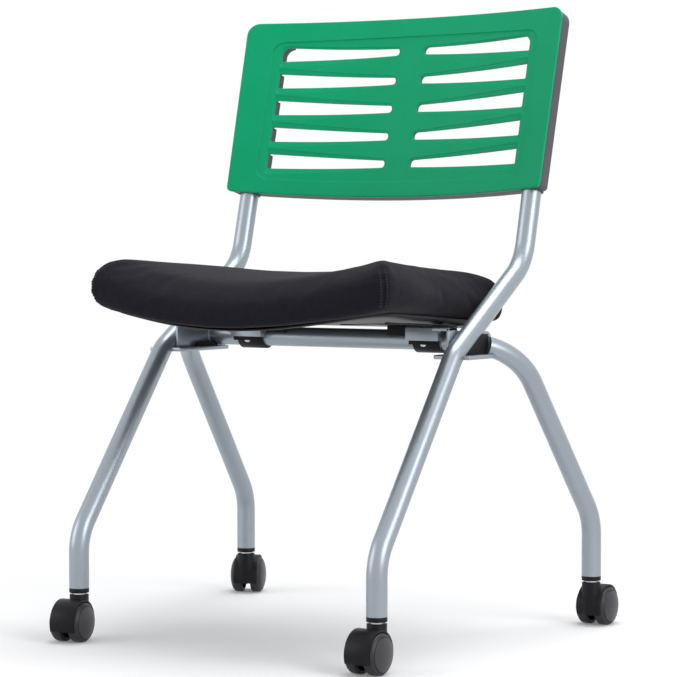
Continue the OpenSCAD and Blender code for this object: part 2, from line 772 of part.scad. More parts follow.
// Hinges: a saddle above the crossbar and a cap below it
cap_t = 3.4;
ear_h = 5;
hinge_bore_r = tube_r + run_gap;
module at_hinge(s) {
    translate([s * hinge_x - hinge_w / 2, hinge_y, hinge_z]) children();
}
module hinge_bore() {
    translate([-over, 0, 0]) rotate([0, 90, 0])
        cylinder(r = hinge_bore_r, h = hinge_w + over * 2, $fn = round_fn);
}
module hinge_screw_holes() {
    at_hinge_screws() translate([0, 0, hinge_z - tube_d])
        cylinder(r = hinge_screw_r + run_gap, h = tube_d * 2, $fn = round_fn);
}
module hinge_saddle(s) {
    color(paint) difference() {
        at_hinge(s) difference() {
            translate([0, -hinge_half, 0])
                cube([hinge_w, hinge_half * 2, saddle_top - hinge_z]);
            hinge_bore();
        }
        hinge_screw_holes();
    }
}
cap_in = 5;
module hinge_cap(s) {
    color(dark_plastic) difference() {
        at_hinge(s) difference() {
            union() {
                intersection() {
                    translate([cap_in, 0, 0]) rotate([0, 90, 0])
                        cylinder(r = hinge_bore_r + cap_t, h = hinge_w - cap_in * 2,
                            $fn = round_fn);
                    translate([0, -hinge_half, -tube_d])
                        cube([hinge_w, hinge_half * 2, tube_d]);
                }
                translate([cap_in, -hinge_half, -ear_h])
                    cube([hinge_w - cap_in * 2, hinge_half * 2, ear_h]);
            }
            hinge_bore();
        }
        hinge_screw_holes();
    }
}
hinge_head_r = 4;
hinge_head_h = 3;
module hinge_screws() {
    color(zinc) at_hinge_screws() {
        translate([0, 0, hinge_z - ear_h - screw_seat])
            cylinder(r = hinge_screw_r, h = saddle_top + screw_in_boss - hinge_z + ear_h
                + screw_seat, $fn = round_fn);
        translate([0, 0, hinge_z - ear_h]) rotate([180, 0, 0])
            screw_head(hinge_head_r, hinge_head_h);
    }
}

// Blocks under the pan, beside the hinges, that steady it over the crossbar
spacer_w = 30;
spacer_apart = 3;
spacer_x = hinge_x - hinge_w / 2 - spacer_apart - spacer_w / 2;
spacer_half = 15;
spacer_h = 14;
spacer_gap = 0.8;
module pan_spacers() {
    color(rubber_black) for (s = [1, -1]) difference() {
        translate([s * spacer_x, hinge_y, seat_low(0, hinge_y) - pan_t])
            rotate([-seat_tilt, 0, 0]) translate([-spacer_w / 2, -spacer_half, -spacer_h])
            cube([spacer_w, spacer_half * 2, spacer_h]);
        translate([s * spacer_x - spacer_w / 2 - over, hinge_y, hinge_z])
            rotate([0, 90, 0])
            cylinder(r = tube_r + spacer_gap, h = spacer_w + over * 2, $fn = round_fn);
    }
}

// Casters: [place of the stem, turn about the stem in degrees]
front_left = [[-side_x, -front_y], 180 + turned_front];
front_right = [[side_x, -front_y], 180];
rear_left = [[-rear_x, rear_y], turned_rear];
rear_right = [[rear_x, rear_y], 0];
wheel_r = wheel_d / 2;
collar_r = 8;
collar_t = 2.2;
collar_gap = 0.2;
neck_top = leg_end_z - collar_gap - collar_t;
stem_r = stem_d / 2;
stem_low_r = 4;
stem_over = 10;
stem_foot = wheel_r + stem_over;
web_half = 5.5;
hood_gap = 1;
hood_wall = 2.5;
disc_show = 8.5;
hood_half = caster_w / 2 - disc_show;
hood_cut_z = 15;
column_r = 12.2;
axle_r = 3;
axle_short = 8.5;
axle_half = caster_w / 2 - axle_short;
module at_caster(c) {
    translate([c[0][0], c[0][1], 0]) rotate([0, 0, c[1]]) children();
}
// Bar along X through the middle of the wheels, from x to x + length
module across(x, length, r) {
    translate([x, trail, wheel_r]) rotate([0, 90, 0])
        cylinder(r = r, h = length, $fn = round_fn);
}
module stem(c) {
    tip = 2;
    groove = 2.2;
    groove_in = 0.9;
    color(zinc) at_caster(c) {
        difference() {
            union() {
                translate([0, 0, stem_foot])
                    cylinder(r = stem_low_r, h = neck_top - stem_foot, $fn = round_fn);
                translate([0, 0, neck_top])
                    cylinder(r = collar_r, h = collar_t, $fn = round_fn);
                translate([0, 0, neck_top])
                    cylinder(r = stem_r, h = stem_top - tip - neck_top, $fn = round_fn);
                translate([0, 0, stem_top - tip])
                    cylinder(r1 = stem_r, r2 = stem_r - tip / 2, h = tip, $fn = round_fn);
            }
            translate([0, 0, stem_top - tip * 3]) difference() {
                cylinder(r = stem_r + over, h = groove, $fn = round_fn);
                cylinder(r = stem_r - groove_in, h = groove, $fn = round_fn);
            }
        }
    }
}
module hood(c) {
    color(dark_plastic) at_caster(c) difference() {
        union() {
            across(-hood_half, hood_half * 2, wheel_r + hood_gap + hood_wall);
            cylinder(r = column_r, h = neck_top, $fn = round_fn);
        }
        for (s = [1, -1])
            across(s > 0 ? web_half : -web_half - caster_w, caster_w, wheel_r + hood_gap);
        translate([0, 0, stem_foot])
            cylinder(r = stem_low_r, h = neck_top, $fn = round_fn);
        across(-caster_w, caster_w * 2, axle_r);
        translate([-caster_w, -caster_w, -wheel_r])
            cube([caster_w * 2, caster_w * 3, hood_cut_z + wheel_r]);
    }
}
module axle(c) {
    color(zinc) at_caster(c) across(-axle_half, axle_half * 2, axle_r);
}

// Wheel profile as [radius, distance from the caster's middle]. The wheel and the
// disc in its outer face share one dome, which starts at the edge of the hood.
wheel_gap = 0.5;
wheel_in = web_half + wheel_gap;
hub_r = 7;
rim_t = 4.5;
rim_in = wheel_r - rim_t;
dish_t = 10;
dish = caster_w / 2 - dish_t;
disc_t = 7.5;
recess = caster_w / 2 - disc_t;
dome_start = hood_half - wheel_gap;
dome_deep = caster_w / 2 - dome_start;
disc_turn = 33;
tread_round = 1.5;
shoulder_steps = 4;
dome_steps = 6;
function dome_at(t) = [wheel_r * cos(t), dome_start + dome_deep * sin(t)];
disc_r = dome_at(disc_turn)[0];
function wheel_profile() = concat(
    [[axle_r + run_gap, wheel_in], [hub_r, wheel_in], [hub_r, dish], [rim_in, dish],
        [rim_in, wheel_in], [wheel_r - tread_round, wheel_in],
        [wheel_r, wheel_in + tread_round]],
    [for (i = [0 : shoulder_steps]) dome_at(disc_turn * i / shoulder_steps)],
    [[disc_r, recess], [axle_r + run_gap, recess]]);
function disc_profile() = concat([[0, recess], [disc_r, recess]],
    [for (i = [0 : dome_steps])
        dome_at(disc_turn + (90 - disc_turn) * i / dome_steps)]);
module turned_about_axle(c, s) {
    at_caster(c) translate([0, trail, wheel_r]) scale_x(s) rotate([0, 90, 0])
        rotate_extrude($fn = round_fn) children();
}
module wheel(c, s) {
    color(rubber_black) turned_about_axle(c, s) polygon(wheel_profile());
}
module disc(c, s) {
    color(disc_grey) turned_about_axle(c, s) polygon(disc_profile());
}

side_tube(-1);  // side_tube_left
side_tube(1);  // side_tube_right
rear_leg(-1);  // rear_leg_left
rear_leg(1);  // rear_leg_right
crossbar();
bracket(-1);  // bracket_left
bracket(1);  // bracket_right
horn_pads();
nest_glides();
nest_bumpers();
leg_sockets();
tube_caps();
back_shell();
back_cover();
back_screws();
seat_pan();
seat_cushion();
hinge_saddle(-1);  // hinge_saddle_left
hinge_saddle(1);  // hinge_saddle_right
hinge_cap(-1);  // hinge_cap_left
hinge_cap(1);  // hinge_cap_right
hinge_screws();
pan_spacers();
stem(front_left);  // stem_front_left
hood(front_left);  // hood_front_left
axle(front_left);  // axle_front_left
wheel(front_left, 1);  // wheel_front_left_a
disc(front_left, 1);  // disc_front_left_a
wheel(front_left, -1);  // wheel_front_left_b
disc(front_left, -1);  // disc_front_left_b
stem(front_right);  // stem_front_right
hood(front_right);  // hood_front_right
axle(front_right);  // axle_front_right
wheel(front_right, 1);  // wheel_front_right_a
disc(front_right, 1);  // disc_front_right_a
wheel(front_right, -1);  // wheel_front_right_b
disc(front_right, -1);  // disc_front_right_b
stem(rear_left);  // stem_rear_left
hood(rear_left);  // hood_rear_left
axle(rear_left);  // axle_rear_left
wheel(rear_left, 1);  // wheel_rear_left_a
disc(rear_left, 1);  // disc_rear_left_a
wheel(rear_left, -1);  // wheel_rear_left_b
disc(rear_left, -1);  // disc_rear_left_b
stem(rear_right);  // stem_rear_right
hood(rear_right);  // hood_rear_right
axle(rear_right);  // axle_rear_right
wheel(rear_right, 1);  // wheel_rear_right_a
disc(rear_right, 1);  // disc_rear_right_a
wheel(rear_right, -1);  // wheel_rear_right_b
disc(rear_right, -1);  // disc_rear_right_b
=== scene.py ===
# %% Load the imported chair
import bpy
import bmesh
import math
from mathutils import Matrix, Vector, geometry
from mathutils.bvhtree import BVHTree


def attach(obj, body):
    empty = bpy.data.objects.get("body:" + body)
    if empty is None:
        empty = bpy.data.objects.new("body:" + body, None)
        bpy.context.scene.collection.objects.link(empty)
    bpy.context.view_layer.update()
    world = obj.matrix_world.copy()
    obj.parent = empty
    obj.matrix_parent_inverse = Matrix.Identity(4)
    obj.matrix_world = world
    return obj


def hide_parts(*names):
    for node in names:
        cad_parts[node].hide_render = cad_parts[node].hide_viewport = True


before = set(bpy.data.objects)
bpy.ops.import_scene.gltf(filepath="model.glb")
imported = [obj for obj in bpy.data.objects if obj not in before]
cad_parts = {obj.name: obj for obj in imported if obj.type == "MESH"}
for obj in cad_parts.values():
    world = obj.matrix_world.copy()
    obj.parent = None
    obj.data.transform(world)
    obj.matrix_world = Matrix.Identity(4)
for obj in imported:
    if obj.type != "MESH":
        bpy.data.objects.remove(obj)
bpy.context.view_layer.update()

# %% [markdown]
# The chair in the photograph is a nesting chair: a bent steel tube frame on four
# twin-wheel casters, a seat that flips up about a crossbar, and a slotted green back.
# The engineering model already holds every hard part at its real size. This script
# dresses it. Sizes are written in millimetres and colours in hex; helpers turn them
# into the metres and the linear light that Blender works in.

# %% Units, nodes and objects
MM = 0.001
WHITE = (1, 1, 1, 1)
SIDES = (("left", -1), ("right", 1))


def linear(hex_colour):
    """An sRGB hex colour as the linear RGBA that shader sockets take."""
    channels = [int(hex_colour[i:i + 2], 16) / 255 for i in (1, 3, 5)]
    return [c / 12.92 if c <= 0.04045 else ((c + 0.055) / 1.055) ** 2.4
            for c in channels] + [1.0]


def add(tree, kind, settings=None, links=None):
    """Adds one node. Settings are attributes or socket values. Links come from a
    socket, or from a node's first output."""
    node = tree.nodes.new(kind)
    for name, value in (settings or {}).items():
        if isinstance(name, str) and hasattr(node, name):
            setattr(node, name, value)
        else:
            node.inputs[name].default_value = value
    for name, source in (links or {}).items():
        socket = source if isinstance(source, bpy.types.NodeSocket) else source.outputs[0]
        tree.links.new(socket, node.inputs[name])
    return node


def cleared(owner):
    """The node tree of a material or a world, emptied."""
    owner.use_nodes = True
    owner.node_tree.nodes.clear()
    return owner.node_tree


def linked(name, data):
    """A new object in the scene."""
    made = bpy.data.objects.new(name, data)
    bpy.context.scene.collection.objects.link(made)
    return made


def clamped(value):
    """The value, kept between 0 and 1."""
    return min(max(value, 0), 1)


print("green as linear light", [round(c, 3) for c in linear("#12a877")])

# %% [markdown]
# The camera stands where the photographer's did. Its place and lens were solved from
# points of the frame that mirror each other, so nothing is fitted here.

# %% Camera
CAMERA_PLACE = (1.716, -2.648, 0.506)
CAMERA_YAW, CAMERA_PITCH = math.radians(32.55), math.radians(-2.29)
FOCAL_PIXELS, FRAME_PIXELS, SENSOR_MM = 2441.6, 677, 36.0

camera_data = bpy.data.cameras.new("camera")
camera_data.sensor_width = SENSOR_MM
camera_data.lens = SENSOR_MM * FOCAL_PIXELS / FRAME_PIXELS
camera = linked("camera", camera_data)
camera.location = CAMERA_PLACE
camera.rotation_euler = (math.pi / 2 + CAMERA_PITCH, 0, CAMERA_YAW)
bpy.context.scene.camera = camera
print("lens", round(camera_data.lens, 1), "mm")

# %% [markdown]
# A product photograph like this one is lit by big soft boxes in a white room: a large
# one overhead for the soft shadow, one at the right for the seat's side, and a weaker
# one at the left for the fronts. The background is white only for the camera and for
# reflections, so that it adds no light of its own.

# %% Lamps and background
def soft_box(name, place, size, power, aim=(0, 0, 0.4)):
    """A square area lamp that faces a point."""
    data = bpy.data.lights.new(name, "AREA")
    data.size, data.energy = size, power
    lamp = linked(name, data)
    lamp.location = place
    lamp.rotation_euler = (Vector(aim) - Vector(place)).to_track_quat("-Z", "Y").to_euler()


def looking(tree):
    """1 for rays that look at the surroundings: camera, transmission and glossy."""
    ray = add(tree, "ShaderNodeLightPath").outputs
    seen = ray["Is Camera Ray"]
    for kind in ("Is Transmission Ray", "Is Glossy Ray"):
        seen = add(tree, "ShaderNodeMath", {"operation": "MAXIMUM"},
                   {0: seen, 1: ray[kind]})
    return seen


soft_box("lamp_top", (0.3, 0.5, 3.2), 2.0, 60)
soft_box("lamp_right", (3.0, -0.6, 1.6), 1.8, 42)
soft_box("lamp_left", (-2.4, -2.4, 1.5), 2.2, 30)

world = bpy.data.worlds.new("studio")
bpy.context.scene.world = world
bpy.context.scene.view_settings.view_transform = "Standard"
tree = cleared(world)
room = add(tree, "ShaderNodeBackground", {"Color": linear("#f4f6f8"), "Strength": 0.42})
white = add(tree, "ShaderNodeBackground", {"Color": WHITE, "Strength": 1.0})
both = add(tree, "ShaderNodeMixShader", links={0: looking(tree), 1: room, 2: white})
add(tree, "ShaderNodeOutputWorld", links={"Surface": both})
print("lamps:", len(bpy.data.lights))

# %% [markdown]
# The floor is matt paper. Close to the chair it takes the soft shadow. Further out it
# fades, by the distance from the chair's middle, to the white of the background, but
# only for the camera and for reflections, so no horizon shows from any side.

# %% Floor paper
FLOOR_HALF, FADE_FROM, FADE_TO, FLOOR_LIFT = 6.0, 0.38, 0.85, 0.14
floor_mesh = bpy.data.meshes.new("floor")
floor_mesh.from_pydata([(x * FLOOR_HALF, y * FLOOR_HALF, 0)
                        for x, y in ((-1, -1), (1, -1), (1, 1), (-1, 1))],
                       [], [(0, 1, 2, 3)])
floor = linked("floor", floor_mesh)

paper = bpy.data.materials.new("matt_paper_floor")
tree = cleared(paper)
seen = looking(tree)
away = add(tree, "ShaderNodeVectorMath", {"operation": "LENGTH"},
           {0: add(tree, "ShaderNodeTexCoord").outputs["Object"]})
fade = add(tree, "ShaderNodeMapRange", {"interpolation_type": "SMOOTHSTEP",
                                        "From Min": FADE_FROM, "From Max": FADE_TO},
           {"Value": away.outputs["Value"]})
share = add(tree, "ShaderNodeMath", {"operation": "MULTIPLY"}, {0: seen, 1: fade})
lift = add(tree, "ShaderNodeMath", {"operation": "MULTIPLY", 1: FLOOR_LIFT}, {0: seen})
glow = add(tree, "ShaderNodeEmission", {"Color": WHITE}, {"Strength": lift})
matt = add(tree, "ShaderNodeBsdfDiffuse", {"Color": linear("#f1f1f2")})
near = add(tree, "ShaderNodeAddShader", links={0: glow, 1: matt})
far = add(tree, "ShaderNodeEmission", {"Color": WHITE, "Strength": 1.0})
both = add(tree, "ShaderNodeMixShader", links={0: share, 1: near, 2: far})
add(tree, "ShaderNodeOutputMaterial", links={"Surface": both})
floor.data.materials.append(paper)
print("floor fades from", FADE_FROM, "to", FADE_TO, "m")

# %% [markdown]
# Every real material gets one procedural finish: a Principled shader with constants,
# and noise or bands at the size of the material's own grain. Images could do the same,
# but would blur from near and show their seams.

# %% Finishes
WAVE_SPACING = 0.314  # metres from band to band at a scale of 1


class Finish:
    """A node material, with its textures placed by the object's own coordinates."""

    def __init__(self, name, viewport, constants):
        self.made = bpy.data.materials.new(name)
        self.tree = cleared(self.made)
        self.made.diffuse_color = linear(viewport)
        self.shader = add(self.tree, "ShaderNodeBsdfPrincipled", constants)
        add(self.tree, "ShaderNodeOutputMaterial", links={"Surface": self.shader})
        self.where = add(self.tree, "ShaderNodeTexCoord").outputs["Object"]
        print("finish:", name)

    def noise(self, size_mm, detail):
        """Noise with grains of a size in millimetres."""
        return add(self.tree, "ShaderNodeTexNoise",
                   {"Scale": 1 / (size_mm * MM), "Detail": detail},
                   {"Vector": self.where}).outputs["Fac"]

    def bands(self, axis, spacing_mm, **more):
        """Soft bands across an axis, at a spacing in millimetres."""
        return add(self.tree, "ShaderNodeTexWave",
                   {"wave_type": "BANDS", "bands_direction": axis,
                    "Scale": WAVE_SPACING / (spacing_mm * MM), **more},
                   {"Vector": self.where}).outputs["Fac"]

    def both(self, operation, first, second):
        """Two textures, multiplied or added."""
        return add(self.tree, "ShaderNodeMath", {"operation": operation},
                   {0: first, 1: second})

    def colour(self, share, dark, light):
        """Lets a texture blend the base colour."""
        mix = add(self.tree, "ShaderNodeMix",
                  {"data_type": "RGBA", 6: linear(dark), 7: linear(light)}, {0: share})
        self.tree.links.new(mix.outputs[2], self.shader.inputs["Base Color"])

    def roughness(self, share, low, high):
        """Lets a texture vary the roughness."""
        rough = add(self.tree, "ShaderNodeMapRange", {"To Min": low, "To Max": high},
                    {"Value": share})
        self.tree.links.new(rough.outputs[0], self.shader.inputs["Roughness"])

    def bump(self, height, strength, depth_mm):
        """Lets a texture tilt the surface."""
        bump = add(self.tree, "ShaderNodeBump",
                   {"Strength": strength, "Distance": depth_mm * MM}, {"Height": height})
        self.tree.links.new(bump.outputs[0], self.shader.inputs["Normal"])


# %% [markdown]
# The frame wears a silver-blue metallic powder paint. Its aluminium flakes give a soft
# gloss, broader than chrome's, so the shader is part metallic under a clear coat, and
# noise varies it at flake size, drawn at 0.8 mm because the real 0.1 mm wouldn't show.

# %% Paint of the frame
paint = Finish("silver_powder_paint", "#9da6af",
               {"Metallic": 0.72, "Coat Weight": 0.2, "Coat Roughness": 0.22})
flake = paint.noise(0.8, 2.0)
paint.colour(flake, "#909aa3", "#a5adb5")
paint.roughness(paint.noise(40, 1.0), 0.3, 0.4)
paint.bump(flake, 0.12, 0.05)

# %% [markdown]
# The mouldings are polypropylene and nylon with a spark-eroded grain: an even sheen
# with no mirror highlight. The grain is drawn a little coarser than real so that it
# shows, and a slow cloud of two near colours keeps large mouldings from looking flat.
# Their shine is low, because grained plastic mirrors little of a white room.

# %% Moulded plastics and rubber
def moulded(name, dark, light, roughness, grain_mm, grain_depth, shine):
    """Moulded plastic: two near colours in a slow cloud, and a fine surface grain."""
    made = Finish(name, light, {"Roughness": roughness, "Specular IOR Level": shine})
    made.colour(made.noise(60, 3.0), dark, light)
    made.bump(made.noise(grain_mm, 1.0), grain_depth, 0.1)
    return made


green_pp = moulded("green_moulded_polypropylene", "#06a06b", "#12a877", 0.44, 0.5, 0.35,
                   0.12)
grey_pp = moulded("grey_moulded_polypropylene", "#4c4a50", "#58565c", 0.52, 0.6, 0.4, 0.25)
black_nylon = moulded("black_moulded_nylon", "#111114", "#19191d", 0.42, 0.7, 0.3, 0.16)
disc_nylon = moulded("dark_grey_disc_nylon", "#2c2b30", "#37363c", 0.38, 0.7, 0.3, 0.45)
tread_nylon = moulded("black_tread_nylon", "#242427", "#2f2e33", 0.44, 0.6, 0.3, 0.35)
pad_rubber = moulded("black_pad_rubber", "#121213", "#1a1a1b", 0.72, 0.8, 0.6, 0.25)

# %% [markdown]
# Screws, stems and axles are zinc plated steel: a metal whose fine turned marks show
# as thin bands of roughness, a little under 1 mm apart.

# %% Bright zinc
zinc = Finish("bright_zinc_plate", "#c9ccd0",
              {"Metallic": 1.0, "Base Color": linear("#cfd2d6")})
zinc.roughness(zinc.bands("Z", 0.942, Distortion=1.5), 0.2, 0.34)

# %% [markdown]
# The seat cover is black woven polyester, its threads drawn every 1.2 mm, twice as
# coarse as real so that the weave shows: two crossed waves on top, and one against the
# height on the sides. Cloth has no sharp highlight, but a faint sheen along its fibres.
# The stitches' thread is spun, so its plies run round it as fine bands.

# %% Seat cloth and thread
THREAD_MM, PLY_MM = 1.2, 0.35
fabric = Finish("black_woven_polyester", "#1d1c21",
                {"Roughness": 0.9, "Specular IOR Level": 0.12, "Sheen Weight": 0.05,
                 "Sheen Roughness": 0.45})
warp, weft, rise = (fabric.bands(axis, THREAD_MM, Distortion=0.6, Detail=1.0,
                                 **{"Detail Scale": 2.0}) for axis in "XYZ")
fabric.colour(fabric.noise(9, 4.0), "#131219", "#201e27")
fabric.bump(fabric.both("ADD", fabric.both("MULTIPLY", warp, weft), rise), 0.35, 0.25)

thread = Finish("grey_polyester_thread", "#4a494f",
                {"Base Color": linear("#3b3a40"), "Roughness": 0.7})
thread.bump(thread.bands("Z", PLY_MM), 0.4, 0.05)

# %% [markdown]
# Pieces are lists of points and faces. Most are loops of points joined by strips of
# quads, or profiles turned about an axis as on a lathe, so these shapes come first.
# Blender's primitives could be stretched to the same sizes, but their edges would be
# knife sharp, and a sharp edge never catches light.

# %% Shapes from drawing numbers
def quarter_turn(steps):
    """The angles of a quarter turn in equal steps."""
    return [math.pi / 2 * k / steps for k in range(steps + 1)]


def polar(radius, angle):
    """A flat point at a radius and an angle."""
    return radius * math.cos(angle), radius * math.sin(angle)


def ring(points, line, depth):
    """Adds a loop of points at a depth and returns their indices."""
    first = len(points)
    points.extend((p[0], p[1], depth) for p in line)
    return list(range(first, len(points)))


def strip(a, b, flip=False):
    """Quads between two loops that have the same number of points."""
    quads = [(a[i - 1], a[i], b[i], b[i - 1]) for i in range(len(a))]
    return [q[::-1] for q in quads] if flip else quads


def strips(rings, flip=False):
    """Quads all along a row of loops."""
    return [quad for a, b in zip(rings, rings[1:]) for quad in strip(a, b, flip)]


def fan(points, row, height, x=0, y=0):
    """Adds a centre point and returns triangles from a loop to it."""
    points.append((x, y, height))
    return [(row[i - 1], row[i], len(points) - 1) for i in range(len(row))]


def turned(profile, steps=48):
    """Points and faces of a profile of (radius, height) turned about the Z axis. A
    profile that ends where it began closes on itself."""
    points, faces, rows = [], [], []
    for radius, height in profile:
        if rows and (radius, height) == profile[0]:
            rows.append(rows[0])
        elif radius < 1e-6:
            rows.append([len(points)] * steps)
            points.append((0.0, 0.0, height))
        else:
            circle = [polar(radius, 2 * math.pi * k / steps) for k in range(steps)]
            rows.append(ring(points, circle, height))
    for quad in strips(rows):
        faces.append(tuple(dict.fromkeys(quad)))
    return points, faces


def together(*shapes):
    """Joins (points, faces) pairs into one pair."""
    points, faces = [], []
    for more_points, more_faces in shapes:
        first = len(points)
        points += list(more_points)
        faces += [tuple(first + i for i in face) for face in more_faces]
    return points, faces


def rounded(corners, radii, steps=8):
    """A flat outline with each corner rounded to its own radius."""
    line = []
    for i, corner in enumerate(corners):
        b = Vector(corner)
        if not radii[i]:
            line.append(tuple(b))
            continue
        u = (Vector(corners[i - 1]) - b).normalized()
        v = (Vector(corners[(i + 1) % len(corners)]) - b).normalized()
        half = u.angle(v) / 2
        centre = b + (u + v).normalized() * radii[i] / math.sin(half)
        start = b + u * radii[i] / math.tan(half) - centre
        end = b + v * radii[i] / math.tan(half) - centre
        turn = math.copysign(math.pi - half * 2, start.x * end.y - start.y * end.x)
        for k in range(steps + 1):
            t = turn * k / steps
            line.append((centre.x + start.x * math.cos(t) - start.y * math.sin(t),
                         centre.y + start.x * math.sin(t) + start.y * math.cos(t)))
    return line


def between(a, b, count):
    """Extra points on a straight edge, kept clear of the rounded corners at its ends."""
    shares = [0.1 + 0.8 * i / (count - 1) for i in range(count)]
    return [(a[0] + (b[0] - a[0]) * t, a[1] + (b[1] - a[1]) * t) for t in shares]


print("a circle of 48 steps has", len(turned([(1, 0), (1, 1)])[1]), "quads")

# %% [markdown]
# Each piece becomes an object that rides on its body of the engineering model and
# hides the nodes that it stands for. What modifiers make is kept as a plain mesh.
# Each piece prints its open edges and volume, which tell if it is closed and faces
# outwards.

# %% Pieces that ride on the chair
def mesh_of(name, points, faces=(), edges=()):
    """A mesh from points in millimetres."""
    mesh = bpy.data.meshes.new(name)
    mesh.from_pydata([Vector(p) * MM for p in points], edges, faces)
    return mesh


def evaluated(seed):
    """The mesh that an object's modifiers make of it."""
    bpy.context.view_layer.update()
    return bpy.data.meshes.new_from_object(
        seed.evaluated_get(bpy.context.evaluated_depsgraph_get()))


def finished(name, mesh, finish, body, slot, stands_for=(), sharp=35):
    """Gives a mesh its object, finish and body, smooth but for edges sharper than
    that, and hides the nodes it stands for."""
    made = linked(name, mesh)
    if not mesh.materials:
        mesh.materials.append(finish.made)
    mesh.shade_smooth()
    mesh.set_sharp_from_angle(angle=math.radians(sharp))
    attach(made, body)
    if stands_for:
        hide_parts(*stands_for)
    test = bmesh.new()
    test.from_mesh(mesh)
    print(name, "has", sum(not e.is_manifold for e in test.edges), "open edges and",
          round(test.calc_volume(signed=True) * 1e6, 2), "ml")
    test.free()
    return made


def piece(name, points, faces, *rest, **more):
    """A finished piece from points in millimetres."""
    return finished(name, mesh_of(name, points, faces), *rest, **more)


print("pieces to stand for", len(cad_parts), "nodes")

# %% [markdown]
# The frame is round steel tube, drawn and then bent on a mandrel. In Blender that is a
# curve swept with a circle, and Geometry Nodes do it in the order of the workshop: take
# the corner points, round each with its own bend radius, saw the end off where the next
# part needs it, and sweep the circle along. The radii travel with the points as an
# attribute, so one tree bends every tube.

# %% The bending tree
TUBE_R, TUBE_INNER = 12.7, 10.7


def new_tree(name, sizes):
    """An empty geometry tree with named number inputs, and its in and out nodes."""
    tree = bpy.data.node_groups.new(name, "GeometryNodeTree")
    tree.interface.new_socket("Geometry", in_out="INPUT", socket_type="NodeSocketGeometry")
    for size, default in sizes.items():
        kind = "NodeSocketInt" if isinstance(default, int) else "NodeSocketFloat"
        socket = tree.interface.new_socket(size, in_out="INPUT", socket_type=kind)
        socket.default_value = default
    tree.interface.new_socket("Geometry", in_out="OUTPUT", socket_type="NodeSocketGeometry")
    return tree, tree.nodes.new("NodeGroupInput"), tree.nodes.new("NodeGroupOutput")


def dress(tree, last, finish, group_out):
    """Ends a tree: real geometry instead of instances, then the material."""
    real = add(tree, "GeometryNodeRealizeInstances", links={0: last})
    coat = add(tree, "GeometryNodeSetMaterial", {"Material": finish.made},
               {"Geometry": real})
    tree.links.new(coat.outputs[0], group_out.inputs[0])


def grown(name, mesh, tree, sizes, *rest, **more):
    """Runs a tree on a mesh and keeps the result as one plain mesh piece."""
    seed = linked(name + "_seed", mesh)
    modifier = seed.modifiers.new("grow", "NODES")
    modifier.node_group = tree
    for socket in tree.interface.items_tree:
        if socket.in_out == "INPUT" and socket.name in sizes:
            modifier[socket.identifier] = sizes[socket.name]
    baked = evaluated(seed)
    baked.name = name
    bpy.data.objects.remove(seed)
    return finished(name, baked, None, *rest, **more)


tube_tree, tube_in, tube_out = new_tree(
    "bent_tube", {"Tube radius": TUBE_R * MM, "Sides": 40, "Steps in a bend": 18,
                  "Kept length": 10.0})
line = add(tube_tree, "GeometryNodeMeshToCurve", links={"Mesh": tube_in})
bend_at = add(tube_tree, "GeometryNodeInputNamedAttribute",
              {"data_type": "FLOAT", "Name": "bend"})
rounded_line = add(tube_tree, "GeometryNodeFilletCurve",
                   {"mode": "POLY", "Limit Radius": True},
                   {"Curve": line, "Radius": bend_at.outputs["Attribute"],
                    "Count": tube_in.outputs["Steps in a bend"]})
sawn = add(tube_tree, "GeometryNodeTrimCurve", {"mode": "LENGTH"}, {"Curve": rounded_line})
tube_tree.links.new(tube_in.outputs["Kept length"],
                    [s for s in sawn.inputs if s.name == "End"][-1])
section = add(tube_tree, "GeometryNodeCurvePrimitiveCircle", {"mode": "RADIUS"},
              {"Radius": tube_in.outputs["Tube radius"],
               "Resolution": tube_in.outputs["Sides"]})
swept = add(tube_tree, "GeometryNodeCurveToMesh", {"Fill Caps": True},
            {"Curve": sawn, "Profile Curve": section})
dress(tube_tree, swept, paint, tube_out)


def bent(name, corners, bends, kept, node):
    """A painted tube of the frame, bent at its corners and sawn off at a length."""
    edges = [(i, i + 1) for i in range(len(corners) - 1)]
    mesh = mesh_of(name + "_line", corners, edges=edges)
    radii = mesh.attributes.new("bend", "FLOAT", "POINT")
    radii.data.foreach_set("value", [b * MM for b in bends])
    return grown(name, mesh, tube_tree, kept, "frame", "frame_paint", [node])


print("bending tree has", len(tube_tree.nodes), "nodes")

# %% [markdown]
# Each side tube runs up from its front caster, back under the seat and up into the
# back. Each rear leg leans in from its caster and curves forward until it meets the
# bracket's plate, where it is sawn off in the middle of its bend.

# %% Side tubes and rear legs
BACK_LEAN, HAUNCH_TURN = math.radians(14.5), math.radians(42)
TUBE_FOOT, TUBE_END, HIP_HIGH = 66, 746.4, 477
SIDE_X, REAR_X, FRONT_Y, REAR_Y = 222, 276, -224, 226
HAUNCH, HAUNCH_RUN, HAUNCH_KEPT = Vector((258, 48.5, 377.5)), 74, 0.765


def kept_to(corners, bends, share):
    """Length along the rounded line up to a share of its last bend."""
    points = [Vector(c) for c in corners]
    length, before = 0.0, 0.0
    for i in range(1, len(points) - 1):
        a, b = points[i] - points[i - 1], points[i + 1] - points[i]
        turn = a.angle(b)
        take = bends[i] * math.tan(turn / 2)
        last = i == len(points) - 2
        length += a.length - before - take + bends[i] * turn * (share if last else 1)
        before = take
    return length * MM


